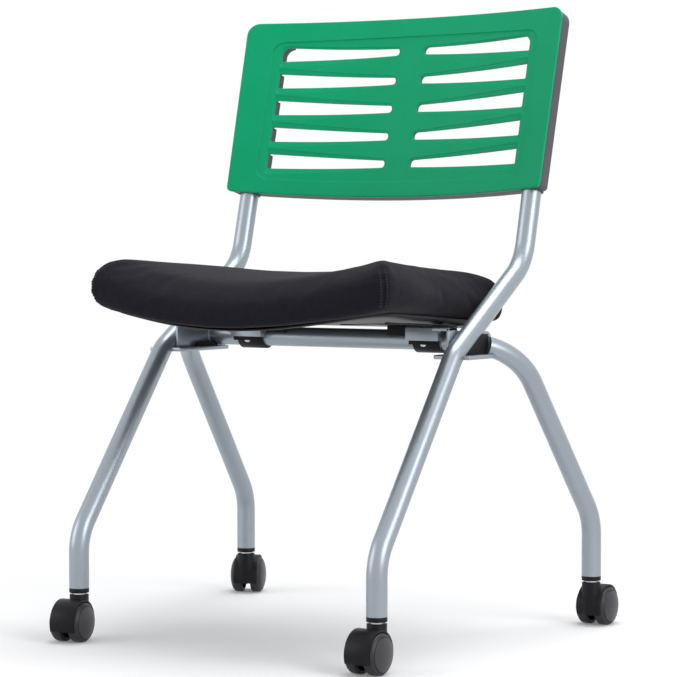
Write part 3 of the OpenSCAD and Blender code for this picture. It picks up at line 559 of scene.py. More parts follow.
inwards = Vector((-math.sin(HAUNCH_TURN), -math.cos(HAUNCH_TURN), 0)) * HAUNCH_RUN
for side, s in SIDES:
    run = [(SIDE_X * s, FRONT_Y, TUBE_FOOT), (SIDE_X * s, FRONT_Y, 133),
           (SIDE_X * s, -44, 365), (SIDE_X * s, 134, HIP_HIGH),
           (SIDE_X * s, 134 + (TUBE_END - HIP_HIGH) * math.tan(BACK_LEAN), TUBE_END)]
    tube = bent("frame_tube_" + side, run, (0, 66, 46, 68, 0), {}, "side_tube_" + side)
    leg = [(REAR_X * s, REAR_Y, TUBE_FOOT), (REAR_X * s, REAR_Y, 142)]
    leg += [(x * s, y, z) for x, y, z in (HAUNCH, HAUNCH + inwards)]
    bends = (0, 66, 110, 0)
    bent("frame_leg_" + side, leg, bends,
         {"Kept length": kept_to(leg, bends, HAUNCH_KEPT)}, "rear_leg_" + side)
    print(side, "tube has", len(tube.data.polygons), "faces")

# %% [markdown]
# The back is two mouldings screwed together, a green front shell and a grey cover, bent
# to one cylinder and pierced by the same ten slots. Booleans could cut the slots, but
# leave poor edges for a soft moulded rim. Here the drawing is made flat instead: every
# outline and slot is a loop of points, with smaller loops inside it for the rounded
# edge. A Delaunay triangulation fills the space between the loops, and only then is
# each point pushed back on to the cylinder.

# %% The back's outline and slots, flat
BACK_Y, BACK_Z, CYLINDER_R, HOLLOW = 133.16, 576, 744.36, 42
BACK_HALF_LOW, BACK_HALF_HIGH, BACK_HIGH, BACK_CROWN = 245, 248, 243, 10
LOW_CORNER, HIGH_CORNER, PANEL_CORNER, SLOT_CORNER, TOP_CORNER = 6, 18, 18, 1.6, 11
PANEL_HALF, PANEL_LOW, PANEL_DROP = 209, 21, 26
SLOT_PITCH, SLOT_FIRST, SLOT_HIGH, SLOT_OUT = 38.6, 36.5, 20.5, 195
SLOT_TIP, SLOT_IN, TIP_RISE = 10, 20, 9.6
SLOTS = [(row, side) for row in range(5) for side in (-1, 1)]


def in_back(x, y, z):
    """From the back's own axes, Z up its lean and Y square to it, to the chair's."""
    return (x, BACK_Y + y * math.cos(BACK_LEAN) + z * math.sin(BACK_LEAN),
            BACK_Z - y * math.sin(BACK_LEAN) + z * math.cos(BACK_LEAN))


def cylinder_y(x, depth):
    """How far back the shell's cylinder lies at x, a depth behind its front face."""
    return HOLLOW - CYLINDER_R + math.sqrt((CYLINDER_R + depth) ** 2 - x * x)


def on_cylinder(x, z, depth):
    """A flat point of the back, a given depth behind its front face."""
    return in_back(x, cylinder_y(x, depth), z)


def crowned(half_low, half_high, low, top, radii):
    """Four rounded corners, straight bottom and sides, and a crowned top edge."""
    corners = [(-half_low, low), (half_low, low), (half_high, top), (-half_high, top)]
    crown = [(half_high * t, top + BACK_CROWN * (1 - t * t))
             for t in (1 - i / 10 for i in range(1, 20))]
    edges = (between(corners[0], corners[1], 48), between(corners[1], corners[2], 24),
             crown, between(corners[3], corners[0], 24))
    line, sizes = [], []
    for corner, radius, edge in zip(corners, radii, edges):
        line += [corner] + edge
        sizes += [radius] + [0] * len(edge)
    return rounded(line, sizes)


def back_outline(inset):
    """The back's edge, moved in by an inset."""
    small, big = max(LOW_CORNER - inset, 1), max(HIGH_CORNER - inset / 2, 1)
    return crowned(BACK_HALF_LOW - inset, BACK_HALF_HIGH - inset, inset,
                   BACK_HIGH - inset, (small, small, big, big))


def panel_outline(inset):
    """The edge of the sunk panel round the slots, moved in by an inset."""
    return crowned(PANEL_HALF - inset, PANEL_HALF - inset, PANEL_LOW + inset,
                   BACK_HIGH - PANEL_DROP - inset, [PANEL_CORNER - inset] * 4)


def slot_outline(row, side, ends, at_out, at_tip, top=None, steps=12):
    """One slot, grown by different amounts at its ends, outer part and inner tip."""
    low = SLOT_FIRST + row * SLOT_PITCH
    tip = low + SLOT_HIGH / 2 + TIP_RISE * (row / 5) ** 3
    out, inner = SLOT_OUT + ends, SLOT_IN - at_tip
    over, under = [], []
    for i in range(steps + 1):
        s = 0 if i == 0 else 0.1 + 0.9 * (i - 1) / (steps - 1)
        grow = at_out + (at_tip - at_out) * s
        above = grow if top is None else min(grow, top)
        x = side * (out + (inner - out) * s)
        fall = (tip - SLOT_TIP / 2 - low) * s ** 0.85
        rise = (tip + SLOT_TIP / 2 - low - SLOT_HIGH) * s ** 1.6
        under.append((x, low + fall - grow))
        over.append((x, low + SLOT_HIGH + rise + above))
    corner = SLOT_CORNER + at_out / 3
    radii = [corner] + [0] * (steps - 1) + [SLOT_TIP / 2 + at_tip - 0.4] * 2
    radii += [0] * (steps - 1) + [TOP_CORNER if row == 4 else corner]
    line = rounded(under + over[::-1], radii)
    return line[::-1] if side > 0 else line


print("top of the back at", [round(v) for v in on_cylinder(0, BACK_HIGH + BACK_CROWN, 0)])

# %% Filling between loops
def filled(points, outer, holes, creases=(), free=()):
    """Triangles between flat loops, which all run anticlockwise and are lists of
    indices into points."""
    loops = [outer, *holes, *creases, free]
    used = sorted({i for loop in loops for i in loop})
    place = {index: k for k, index in enumerate(used)}
    edges = [(place[loop[i - 1]], place[loop[i]]) for loop in creases
             for i in range(len(loop))]
    faces = [[place[i] for i in loop] for loop in [outer, *holes]]
    out = geometry.delaunay_2d_cdt([Vector(points[i][:2]) for i in used], edges, faces,
                                   0, 1e-5)
    return [tuple(used[out[3][k][0]] for k in face)
            for face, owners in zip(out[2], out[5]) if list(owners) == [0]]


def inside(x, z, line):
    """Whether a flat point is inside a loop."""
    hit = False
    for i, (x1, z1) in enumerate(line):
        x0, z0 = line[i - 1]
        if (z0 > z) != (z1 > z) and x < (x1 - x0) * (z - z0) / (z1 - z0) + x0:
            hit = not hit
    return hit


def grid(points, step, first, depth_at):
    """Adds free points on a square grid where depth_at gives a depth, so that the
    triangles stay even and bend well. Returns their indices."""
    added = []
    for column in range(-240 // step, 240 // step + 1):
        for level in range(260 // step):
            x, z = column * step, first + level * step
            depth = depth_at(x, z)
            if depth is not None:
                added += ring(points, [(x, z)], depth)
    return added


ROUNDING = [(1 - math.cos(t), 1 - math.sin(t)) for t in quarter_turn(4)]
print("steps in a rounded edge:", len(ROUNDING))

# %% [markdown]
# The shell's panel is sunk 1.2 mm inside a plain frame. Each slat between the slots is
# shaped like an eye: a flat lens, a small step at the lens's edge, and a bevel from
# there down to the slot. The bevel is wide at the outer end and dies out at the middle,
# which gives the faint lines that run together there.

# %% Green front shell
SHELL, EDGE, SHELL_EDGE = 3.5, 0.7, 1.1
SINK, PANEL_STEP, LENS_STEP, BEVEL_LOW, BEVEL_MORE = 1.2, 0.4, 0.45, 0.4, 1.1


def lens_outline(row, side, grow=0.0):
    """The lens's edge round a slot; above the top slots it keeps clear of the panel's."""
    return slot_outline(row, side, 2.4 + grow, 8.2 + grow, 2.2 + grow,
                        2.6 + grow if row == 4 else None)


points, faces = [], []
outline_rings = [ring(points, back_outline(SHELL_EDGE * a), SHELL_EDGE * b)
                 for a, b in ROUNDING]
creases = [ring(points, panel_outline(-PANEL_STEP), 0),
           ring(points, panel_outline(PANEL_STEP), SINK)]
slot_rings = []
for row, side in SLOTS:
    rings = []
    for a, b in ROUNDING:
        rings.append(ring(points, slot_outline(row, side, *[EDGE * a] * 3), 0))
        for i in rings[-1]:
            x, z, _ = points[i]
            reach = clamped((abs(x) - SLOT_IN) / (SLOT_OUT - SLOT_IN))
            points[i] = (x, z, SINK + BEVEL_LOW + BEVEL_MORE * reach + EDGE * b)
    slot_rings.append(rings)
    creases += [ring(points, lens_outline(row, side), SINK),
                ring(points, lens_outline(row, side, -0.4), SINK + LENS_STEP)]
edge_line, lip_line, foot_line = back_outline(3.5), panel_outline(-3.5), panel_outline(3.5)
lens_lines = [lens_outline(row, side, 1.0) for row, side in SLOTS]


def front_depth(x, z):
    """The front's depth at a free point, or None where it would be too near a loop."""
    if not inside(x, z, edge_line):
        return None
    if inside(x, z, foot_line):
        return None if any(inside(x, z, line) for line in lens_lines) else SINK
    return None if inside(x, z, lip_line) else 0.0


free = grid(points, 8, 4, front_depth)
faces += filled(points, outline_rings[-1], [r[-1] for r in slot_rings], creases, free)
faces += strips(outline_rings)
for rings in slot_rings:
    faces += strips(rings, flip=True)
back_edge = ring(points, back_outline(0), SHELL)
back_slots = [ring(points, slot_outline(row, side, 0, 0, 0), SHELL) for row, side in SLOTS]
behind = ring(points, [points[i] for i in free], SHELL)
faces += [f[::-1] for f in filled(points, back_edge, back_slots, (), behind)]
faces += strip(back_edge, outline_rings[0])
for hole, rings in zip(back_slots, slot_rings):
    faces += strip(hole, rings[0], flip=True)
piece("green_front_shell", [on_cylinder(*p) for p in points], faces, green_pp, "frame",
      "green_plastic", ["back_shell"], sharp=30)

# %% [markdown]
# The cover behind it is one moulding: a slotted panel, a deep rim that stiffens its
# edge, and a sleeve for each upright. It uses the shell's outlines a little inset, so
# both stay in step. Its edge starts with a groove, which draws a line of shadow, and a
# short wall stands behind each slot's outer end, dark when seen through the slot. The
# sleeves are turned, as on a lathe, from a short list of radii and heights.

# %% Grey back cover
COVER_FRONT, COVER_REAR, COVER_INSET, RIM_DEEP, RIM_WALL, GROOVE = 3.9, 8.5, 1.2, 25, 3, 6
END_NEAR, END_THICK, END_DEEP, END_ROUND = 196.9, 3.0, 17.0, 0.9
TUBE_SET, SLEEVE_R, SLEEVE_BORE, SLEEVE_TOP, SLEEVE_DOME = 25.6, 15.4, 12.8, 188.3, 5
RIM_PROFILE = ((GROOVE, COVER_FRONT), (GROOVE, 5.6), (0.4, 5.7), (0, 6), (0, 12), (0, 23.6),
               (0.25, 24.5), (0.9, RIM_DEEP), (RIM_WALL - 0.9, RIM_DEEP),
               (RIM_WALL - 0.2, 24.5), (RIM_WALL, 23.6), (RIM_WALL, 10.5),
               (RIM_WALL + 0.5, 9.2), (RIM_WALL + 1.8, COVER_REAR))


def end_wall(row, trim):
    """The outline of the wall behind a slot's outer end; the top one turns the corner."""
    low = SLOT_FIRST + row * SLOT_PITCH
    foot, near, far = low - 1 + trim, END_NEAR + trim, END_NEAR + END_THICK - trim
    if row < 4:
        head = low + SLOT_HIGH + 1 - trim
        return rounded([(near, foot), (far, foot), (far, head), (near, head)],
                       [END_ROUND - trim] * 4, 3)
    x, z = SLOT_OUT - TOP_CORNER, low + SLOT_HIGH - TOP_CORNER
    arc = [math.radians(10 * k) for k in range(9)]
    bow = [(far, t) for t in arc] + [(near, t) for t in arc[::-1]]
    return ([(near, foot), (far, foot)]
            + [(x + (r - x) * math.cos(t), z + (r - x) * math.sin(t)) for r, t in bow])


points = []
rim = [ring(points, back_outline(COVER_INSET + inset), depth)
       for inset, depth in RIM_PROFILE]
faces, walls = strips(rim[::-1]), []
for row, side in SLOTS:
    walls.append([ring(points, slot_outline(row, side, grow, grow, grow), depth)
                  for grow, depth in ((1.8, COVER_REAR), (1.25, 8.25), (1.0, 7.6),
                                      (1.0, COVER_FRONT))])
    faces += strips(walls[-1], flip=True)
    loops = [ring(points, [(side * x, z) for x, z in end_wall(row, trim)][::side], depth)
             for trim, depth in ((0, 8.2), (0, END_DEEP - 0.6), (0.5, END_DEEP))]
    faces += strips(loops[::-1]) + [tuple(loops[0]), tuple(loops[-1][::-1])]
keep_out = [slot_outline(row, side, 5, 5, 4) for row, side in SLOTS]
edge_line = back_outline(COVER_INSET + 9)
for depth, edge, end in ((COVER_FRONT, rim[0], -1), (COVER_REAR, rim[-1], 0)):
    inner = grid(points, 10, 3, lambda x, z: depth if inside(x, z, edge_line) and not any(
        inside(x, z, line) for line in keep_out) else None)
    fill = filled(points, edge, [wall[end] for wall in walls], (), inner)
    faces += fill if depth == COVER_FRONT else [f[::-1] for f in fill]
shapes = [([on_cylinder(*p) for p in points], faces)]

dome = [(SLEEVE_R * math.cos(t), SLEEVE_TOP - SLEEVE_DOME + SLEEVE_DOME * math.sin(t))
        for t in quarter_turn(8)]
sleeve = turned([(0, SLEEVE_TOP - 2.7), (SLEEVE_BORE, SLEEVE_TOP - 2.7), (SLEEVE_BORE, 0.6),
                 (SLEEVE_BORE + 0.5, 0), (SLEEVE_R - 0.6, 0), (SLEEVE_R - 0.15, 0.2),
                 (SLEEVE_R, 0.8), (SLEEVE_R, 60), (SLEEVE_R, 120)]
                + dome[:-1] + [(0, SLEEVE_TOP)], 64)
for _, s in SIDES:
    spots = [(x + s * SIDE_X, y + TUBE_SET, z) for x, y, z in sleeve[0]]
    shapes.append(([in_back(x, max(y, cylinder_y(x, COVER_FRONT)), z)
                    for x, y, z in spots], sleeve[1]))
piece("grey_back_cover", *together(*shapes), grey_pp, "frame", "grey_plastic",
      ["back_cover"], sharp=50)

# %% [markdown]
# Pan-head screws hold the back and the hinges. One head with a hexagon socket is made,
# and Geometry Nodes set a copy on each point, facing along the point's own direction.
# The same head sits in many places, and an instance says exactly that.

# %% Screw heads by Geometry Nodes
def screw_head(radius, height, socket, steps=24):
    """A domed head with a hexagon socket, standing on its seat."""
    dome = [(radius * math.cos(t), height * math.sin(t)) for t in quarter_turn(6)[:5]]
    top = dome[-1][1]
    points, faces = turned([(0, -0.4), (radius, -0.4)] + dome
                           + [(socket * 1.12, top + 0.12)], steps)
    rim = list(range(len(points) - steps, len(points)))
    sixth, hexagon = math.pi / 3, []
    for k in range(steps):
        t = 2 * math.pi * k / steps
        off = (t + sixth / 2) % sixth - sixth / 2
        hexagon.append(polar(socket * math.cos(sixth / 2) / math.cos(off), t))
    mouth = ring(points, hexagon, top + 0.05)
    deep = ring(points, [(x * 0.96, y * 0.96) for x, y in hexagon], top - height * 0.5)
    faces += strips([rim, mouth, deep])
    return points, faces + fan(points, deep, top - height * 0.55)


def spread(name, shape, spots, body, slot, finish, stands_for=()):
    """Sets a copy of a shape on each spot (place, direction) with a Geometry Nodes tree."""
    model = linked(name + "_shape", mesh_of(name + "_shape", *shape))
    tree, group_in, group_out = new_tree(name + "_tree", {})
    way = add(tree, "GeometryNodeInputNamedAttribute",
              {"data_type": "FLOAT_VECTOR", "Name": "way"})
    face_along = add(tree, "FunctionNodeAlignRotationToVector", {"axis": "Z"},
                     {"Vector": way.outputs["Attribute"]})
    one = add(tree, "GeometryNodeObjectInfo", {"Object": model})
    copies = add(tree, "GeometryNodeInstanceOnPoints", links={
        "Points": group_in, "Instance": one.outputs["Geometry"], "Rotation": face_along})
    dress(tree, copies, finish, group_out)
    seeds = mesh_of(name + "_spots", [place for place, _ in spots])
    ways = seeds.attributes.new("way", "FLOAT_VECTOR", "POINT")
    ways.data.foreach_set("vector", [c for _, w in spots for c in Vector(w).normalized()])
    made = grown(name, seeds, tree, {}, body, slot, stands_for, sharp=40)
    bpy.data.objects.remove(model)
    print(name, "has", len(spots), "copies and", len(made.data.polygons), "faces")


OUTER_SCREW_X = 112
outwards = Vector(in_back(0, 1, 0)) - Vector(in_back(0, 0, 0))
heads = []
for _, s in SIDES:
    places = [(SIDE_X, TUBE_SET + SLEEVE_R - 0.5, height) for height in (40.2, 142.4)]
    places += [(OUTER_SCREW_X, cylinder_y(OUTER_SCREW_X, 0) + COVER_REAR, height)
               for height in (16, 229)]
    heads += [(in_back(s * x, y, z), outwards) for x, y, z in places]
spread("back_screw_heads", screw_head(4.7, 2.4, 1.9), heads, "frame", "zinc_steel", zinc,
       ["back_screws"])

# %% [markdown]
# The crossbar is straight tube, swept by the bending tree. Each bracket is two pressed
# plates welded together: an upright web with a horn in front, and a floor plate that
# the rear leg stands on. A plate is drawn flat, with a small round on every edge, as
# sheet has after it is tumbled and painted.

# %% Crossbar and bracket plates
HINGE_Y, HINGE_Z, WEB_OUT, WEB_IN = 48, 379, 209.3, 205.3
PLATE_LOW, PLATE_HIGH, WEB_HIGH, HORN_TOP, TAB_THICK = 359.8, 364.8, 391.7, 398.5, 4
bent("frame_crossbar", [(s * (WEB_IN + 1), HINGE_Y, HINGE_Z) for _, s in SIDES], (0, 0), {},
     "crossbar")


def sheet(outline, low, high, edge, place=lambda x, y, z: (x, y, z)):
    """A flat plate from an anticlockwise outline, with rounded edges. Place puts a flat
    point and a height on the chair."""
    levels = [(edge * (1 - math.sin(t)), low + edge * (1 - math.cos(t)))
              for t in quarter_turn(2)]
    levels += [(edge * (1 - math.cos(t)), high - edge * (1 - math.sin(t)))
               for t in quarter_turn(2)]
    points, rings = [], []
    for inset, height in levels:
        line = []
        for i, p in enumerate(outline):
            before = (Vector(p) - Vector(outline[i - 1])).normalized()
            after = (Vector(outline[(i + 1) % len(outline)]) - Vector(p)).normalized()
            inwards = Vector((-before.y - after.y, before.x + after.x))
            inwards /= max(inwards.length_squared / 2, 0.2)
            line.append((p[0] + inwards.x * inset, p[1] + inwards.y * inset))
        rings.append(ring(points, line, height))
    faces = strips(rings) + [f[::-1] for f in filled(points, rings[0], [])]
    return [place(*p) for p in points], faces + filled(points, rings[-1], [])


web = rounded([(-34, PLATE_LOW), (76, PLATE_LOW), (76, WEB_HIGH), (-14, WEB_HIGH),
               (-14, HORN_TOP), (-34, HORN_TOP)], [0, 0, 14, 6.5, 0, 0], 10)
floor_plate = rounded([(190.3, -44), (244, -44), (244, 76), (WEB_IN, 76), (WEB_IN, 66),
                       (190.3, 66)], [7, 1, 7, 1, 0, 7], 6)
tab = [(185.3, -34), (WEB_OUT, -34), (WEB_OUT, -14), (185.3, -14)]
points, faces = together(
    sheet(web, WEB_IN, WEB_OUT, 0.7, lambda y, z, x: (x, y, z)),
    sheet(floor_plate, PLATE_LOW, PLATE_HIGH, 0.8),
    sheet(tab, HORN_TOP - TAB_THICK, HORN_TOP, 0.7))
for side, s in SIDES:
    piece("bracket_plates_" + side, [(s * x, y, z) for x, y, z in points],
          [f[::s] for f in faces], paint, "frame", "frame_paint", ["bracket_" + side],
          sharp=50)

# %% [markdown]
# Small mouldings such as the hinge caps, pads, glides and spacers already have their
# true shape in the engineering model, but with sharp edges. A copy of each mesh is
# merged, its flat triangles are joined, and a Bevel modifier rounds the edges as a
# mould or a file would.

# %% Softened copies of hard parts
def softened(name, node, width, finish, body, slot):
    """A copy of a CAD node with rounded edges, which stands for the node."""
    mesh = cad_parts[node].data.copy()
    mesh.materials.clear()
    work = bmesh.new()
    work.from_mesh(mesh)
    bmesh.ops.remove_doubles(work, verts=work.verts, dist=0.01 * MM)
    bmesh.ops.dissolve_limit(work, angle_limit=math.radians(1.5), verts=work.verts,
                             edges=work.edges)
    work.to_mesh(mesh)
    work.free()
    seed = linked(name + "_seed", mesh)
    bevel = seed.modifiers.new("soft edge", "BEVEL")
    bevel.width, bevel.segments = width * MM, 2
    bevel.limit_method, bevel.angle_limit = "ANGLE", math.radians(35)
    bevel.use_clamp_overlap = True
    baked = evaluated(seed)
    bpy.data.objects.remove(seed)
    finished(name, baked, finish, body, slot, [node], sharp=40)


for side, _ in SIDES:
    softened("saddle_" + side, "hinge_saddle_" + side, 0.8, paint, "seat", "frame_paint")
    softened("cap_" + side, "hinge_cap_" + side, 0.7, black_nylon, "seat", "dark_plastic")
for name, node, width, body in (("horn_pad", "horn_pads", 0.6, "frame"),
                                ("glide", "nest_glides", 1.0, "frame"),
                                ("bumper", "nest_bumpers", 0.8, "frame"),
                                ("spacer", "pan_spacers", 0.8, "seat")):
    softened(name + "_pair", node, width, pad_rubber, body, "black_rubber")

# %% [markdown]
# Each leg ends in a black moulded socket, and each caster has a zinc stem, a nylon hood
# and two wheels with a cover disc. All but the hood are round, so each is a turned
# profile, put on the chair by the caster's place and its turn about the stem. One dome
# makes the wheel's face, and a fine groove parts the disc from the wheel.

# %% Sockets in the leg ends
LEG_END, RING_HIGH, PLUG_R, PLUG_TOP, PLUG_ROUND = 60, 6, 6, 20, 0.9
CASTERS = {"front_left": (-SIDE_X, FRONT_Y, 189), "front_right": (SIDE_X, FRONT_Y, 180),
           "rear_left": (-REAR_X, REAR_Y, 24), "rear_right": (REAR_X, REAR_Y, 0)}
lip = [(TUBE_R - PLUG_ROUND + PLUG_ROUND * math.sin(t), PLUG_ROUND * (1 - math.cos(t)))
       for t in quarter_turn(5)]
own, own_faces = turned([(PLUG_R, 1.2), (6.8, 0), *lip, (TUBE_R, RING_HIGH - 0.5),
                         (TUBE_R - 0.4, RING_HIGH), (TUBE_INNER, RING_HIGH),
                         (TUBE_INNER, PLUG_TOP), (PLUG_R, PLUG_TOP), (PLUG_R, 1.2)], 56)
sockets = [([(px + x, py + y, pz + LEG_END) for px, py, pz in own], own_faces)
           for x, y, _ in CASTERS.values()]
piece("leg_end_sockets", *together(*sockets), black_nylon, "frame", "dark_plastic",
      ["leg_sockets"], sharp=50)

# %% Stems, wheels and discs
WHEEL_R, TRAIL, HUB_R, AXLE_HOLE = 25, 18, 7, 3.1
DOME_START, DOME_DEEP, DISC_TURN = 16.0, 9.0, 33


def on_dome(degrees):
    """Radius and distance from the caster's middle of a point of the wheel's face."""
    t = math.radians(degrees)
    return WHEEL_R * math.cos(t), DOME_START + DOME_DEEP * math.sin(t)


disc_edge, disc_level = on_dome(DISC_TURN)
wheel = turned([(AXLE_HOLE, 6), (HUB_R - 0.4, 6), (HUB_R, 6.4), (HUB_R, 15), (20.5, 15),
                (20.5, 6.4), (20.9, 6), (23, 6)]
               + [(23 + 2 * math.sin(t), 8 - 2 * math.cos(t)) for t in quarter_turn(6)[1:]]
               + [(WHEEL_R, 12)] + [on_dome(DISC_TURN * k / 8) for k in range(8)]
               + [(disc_edge + 0.45, disc_level - 0.15), (disc_edge + 0.1, disc_level - 0.5),
                  (disc_edge, disc_level - 1.4), (disc_edge - 1.2, disc_level - 1.5),
                  (AXLE_HOLE, disc_level - 1.5), (AXLE_HOLE, 6)], 72)
disc = turned([(0, disc_level - 1.4), (disc_edge - 0.25, disc_level - 1.4),
               (disc_edge - 0.2, disc_level - 0.45), (disc_edge - 0.5, disc_level - 0.05)]
              + [on_dome(DISC_TURN + 2 + (88 - DISC_TURN) * k / 10) for k in range(10)]
              + [(0, DOME_START + DOME_DEEP)], 72)
stem = turned([(0, 35.4), (3.6, 35.4), (4, 35.8), (4, 57.6), (7.4, 57.6), (8, 57.9),
               (8, 59.5), (7.6, 59.8), (5.5, 59.8), (5.5, 81.9), (4.6, 82), (4.6, 84.2),
               (5.5, 84.3), (5.5, 85), (4.5, 86.8), (0, 87)], 40)


def on_caster(shape, corner, side=0):
    """Puts a shape on a caster; a side of 1 or -1 lays the turned axis along its axle."""
    x, y, degrees = CASTERS[corner]
    cos, sin = math.cos(math.radians(degrees)), math.sin(math.radians(degrees))
    placed = []
    for px, py, pz in shape[0]:
        if side:
            px, py, pz = side * pz, TRAIL - py * side, WHEEL_R + px
        placed.append((x + px * cos - py * sin, y + px * sin + py * cos, pz))
    return placed, shape[1]


for corner in CASTERS:
    caster = "caster_" + corner
    piece("caster_stem_" + corner, *on_caster(stem, corner), zinc, caster, "zinc_steel",
          ["stem_" + corner])
    for mark, side in (("a", 1), ("b", -1)):
        body, node = "wheel_%s_%s" % (corner, mark), "disc_%s_%s" % (corner, mark)
        piece("caster_" + body, *on_caster(wheel, corner, side), tread_nylon, body,
              "tread", [body], sharp=30)
        piece("caster_" + node, *on_caster(disc, corner, side), disc_nylon, body,
              "disc_plastic", [node], sharp=40)
    softened("caster_hood_" + corner, "hood_" + corner, 0.9, black_nylon, caster,
             "dark_plastic")

# %% [markdown]
# Under the cushion sits a moulded pan with a rolled lip, bosses for the hinges and
# shallow ribs that follow its curve. Seat and pan follow one drawing, an outline seen
# from above, a tilt, and a dip towards the front edge. Those rules are written as
# functions first, so that the cushion and the pan can never part.

# %% The seat's drawing
SEAT_FRONT, SEAT_REAR, BOW_FRONT, BOW_REAR, WAIST = 192, 128, 30, 16, 3
HALF_FRONT, HALF_REAR, CORNER_Z, DIP, DIP_FROM = 213, 198, 424, 29, 23
TILT, SEAT_LONG = math.tan(math.radians(4.2)), SEAT_FRONT + SEAT_REAR
MIDDLE, HALF_LEN = (SEAT_REAR - SEAT_FRONT) / 2, SEAT_LONG / 2


def half_wide(y):
    """Half the seat's width at a distance from front to rear."""
    return HALF_FRONT + (HALF_REAR - HALF_FRONT) * clamped((y + SEAT_FRONT) / SEAT_LONG)


def seat_low(x, y):
    """Height of the cushion's underside."""
    dip = DIP * max((DIP_FROM - y) / (DIP_FROM + SEAT_FRONT + BOW_FRONT), 0) ** 2
    return CORNER_Z - (y + SEAT_FRONT) * TILT - dip * (1 - (x / half_wide(y)) ** 2)


def seat_outline(front_corner, rear_corner, rear_grow=0, front=16, sides=12):
    """The seat from above, anticlockwise from its left front corner."""
    across = [2 * i / front - 1 for i in range(front + 1)]
    line = [(HALF_FRONT * t, -SEAT_FRONT - BOW_FRONT * (1 - t * t)) for t in across]
    flank = []
    for i in range(1, sides):
        t = 0.12 + 0.72 * i / sides
        y = -SEAT_FRONT + SEAT_LONG * t
        flank.append((half_wide(y) - WAIST * math.sin(math.pi * t), y))
    line += flank
    line += [(-HALF_REAR * t, SEAT_REAR + rear_grow + (BOW_REAR - rear_grow) * (1 - t * t))
             for t in across]
    line += [(-x, y) for x, y in flank[::-1]]
    corners = {0: front_corner, front: front_corner, front + sides: rear_corner,
               2 * front + sides: rear_corner}
    kept = [i for i in range(len(line)) if i in corners or not any(
        0 < (Vector(line[i]) - Vector(line[k])).length < r * 1.02
        for k, r in corners.items())]
    return rounded([line[i] for i in kept], [corners.get(i, 0) for i in kept], 10)


def skin(outline, rings, low_centre, high_centre):
    """A closed skin through rings of (inset, height function), lowest ring first. An
    inset draws the outline in towards the seat's middle."""
    points, rows = [], []
    for inset, height in rings:
        line = [(x * (1 - inset / HALF_FRONT),
                 MIDDLE + (y - MIDDLE) * (1 - inset / HALF_LEN)) for x, y in outline]
        rows.append(list(range(len(points), len(points) + len(line))))
        points += [(x, y, height(x, y)) for x, y in line]
    faces = strips(rows)
    faces += [f[::-1] for f in fan(points, rows[0], low_centre, 0, MIDDLE)]
    return points, faces + fan(points, rows[-1], high_centre, 0, MIDDLE)


print("underside of the cushion at its middle", round(seat_low(0, MIDDLE)), "mm")

# %% Seat pan
PAN, PAN_GAP, EDGE_SHARE, FRONT_THIN, PAN_CORNERS = 9, 0.4, 0.45, 90, (38, 48)
SADDLE_X, BOSS_HALF, BOSS_LONG, RIB_HALF, RIB_HIGH = 136, 24, 25, 1.8, 1.5
SADDLE_TOP = HINGE_Z + TUBE_R + 3.8
RIB_FROM, RIB_TO = -110, 9.9


def pan_deep(y):
    """Thickness of the pan, thinner towards the front edge."""
    t = clamped((-FRONT_THIN - y) / (SEAT_FRONT - FRONT_THIN))
    return PAN * (1 - (1 - EDGE_SHARE) * t)


def pan_level(share):
    """Height function at a share of the pan's thickness below the cushion."""
    return lambda x, y: seat_low(x, y) - PAN_GAP - share * (pan_deep(y) - PAN_GAP)


def boss(x):
    """A block with rounded upright edges for a hinge, up into the pan."""
    outline = rounded([(x + i * BOSS_HALF, HINGE_Y + j * BOSS_LONG)
                       for i, j in ((-1, -1), (1, -1), (1, 1), (-1, 1))], [4] * 4, 5)
    return sheet(outline, SADDLE_TOP, seat_low(SADDLE_X, HINGE_Y) - PAN / 2, 1.0)


def rib(x):
    """A shallow rib from front to rear that follows the pan's underside."""
    a, b, c, d = ((x - RIB_HALF, RIB_FROM), (x + RIB_HALF, RIB_FROM),
                  (x + RIB_HALF, RIB_TO), (x - RIB_HALF, RIB_TO))
    outline = [a, b, *between(b, c, 13), c, d, *between(d, a, 13)]
    return sheet(outline, -RIB_HIGH, 3, 0.8,
                 lambda x, y, z: (x, y, seat_low(x, y) - pan_deep(y) + z))


pan_rings = [(inset, 1) for inset in (150, 125, 100, 75, 52, 34, 24)]
pan_rings += [(16, 0.99), (13.4, 0.96), (10.8, 0.86), (8.8, 0.66), (7.8, 0.42), (7.5, 0.2),
              (7.9, 0.05), (9.4, 0), (24, 0), (52, 0), (100, 0), (150, 0)]
middle = seat_low(0, MIDDLE)
shell = skin(seat_outline(*PAN_CORNERS),
             [(inset, pan_level(share)) for inset, share in pan_rings],
             middle - PAN, middle - PAN_GAP)
bosses = [boss(s * SADDLE_X) for _, s in SIDES]
ribs = [rib(x) for x in (-165, -100, 100, 165)]
piece("seat_pan_moulding", *together(shell, *bosses, *ribs), black_nylon, "seat",
      "dark_plastic", ["seat_pan"], sharp=45)

hinge_heads = [((s * SADDLE_X, HINGE_Y + t * 20.1, HINGE_Z - 4.8), (0, 0, -1))
               for s in (-1, 1) for t in (-1, 1)]
spread("hinge_screw_heads", screw_head(4, 3, 1.7), hinge_heads, "seat", "zinc_steel", zinc,
       ["hinge_screws"])

# %% [markdown]
# The cushion is foam on the pan under a fitted cover. It bulges out over the pan, most
# at the front corners, and its rear corners are squarer than the pan's. Upholstery is a
# tight skin over something that pushes back, and a cloth simulation with pressure acts
# the same way: it swells a start shape that is a little too small into soft, slightly
# uneven crowns. The underside is held still, as foam is glued there, and no point may
# move more than the cap, so the cushion keeps its drawn size.

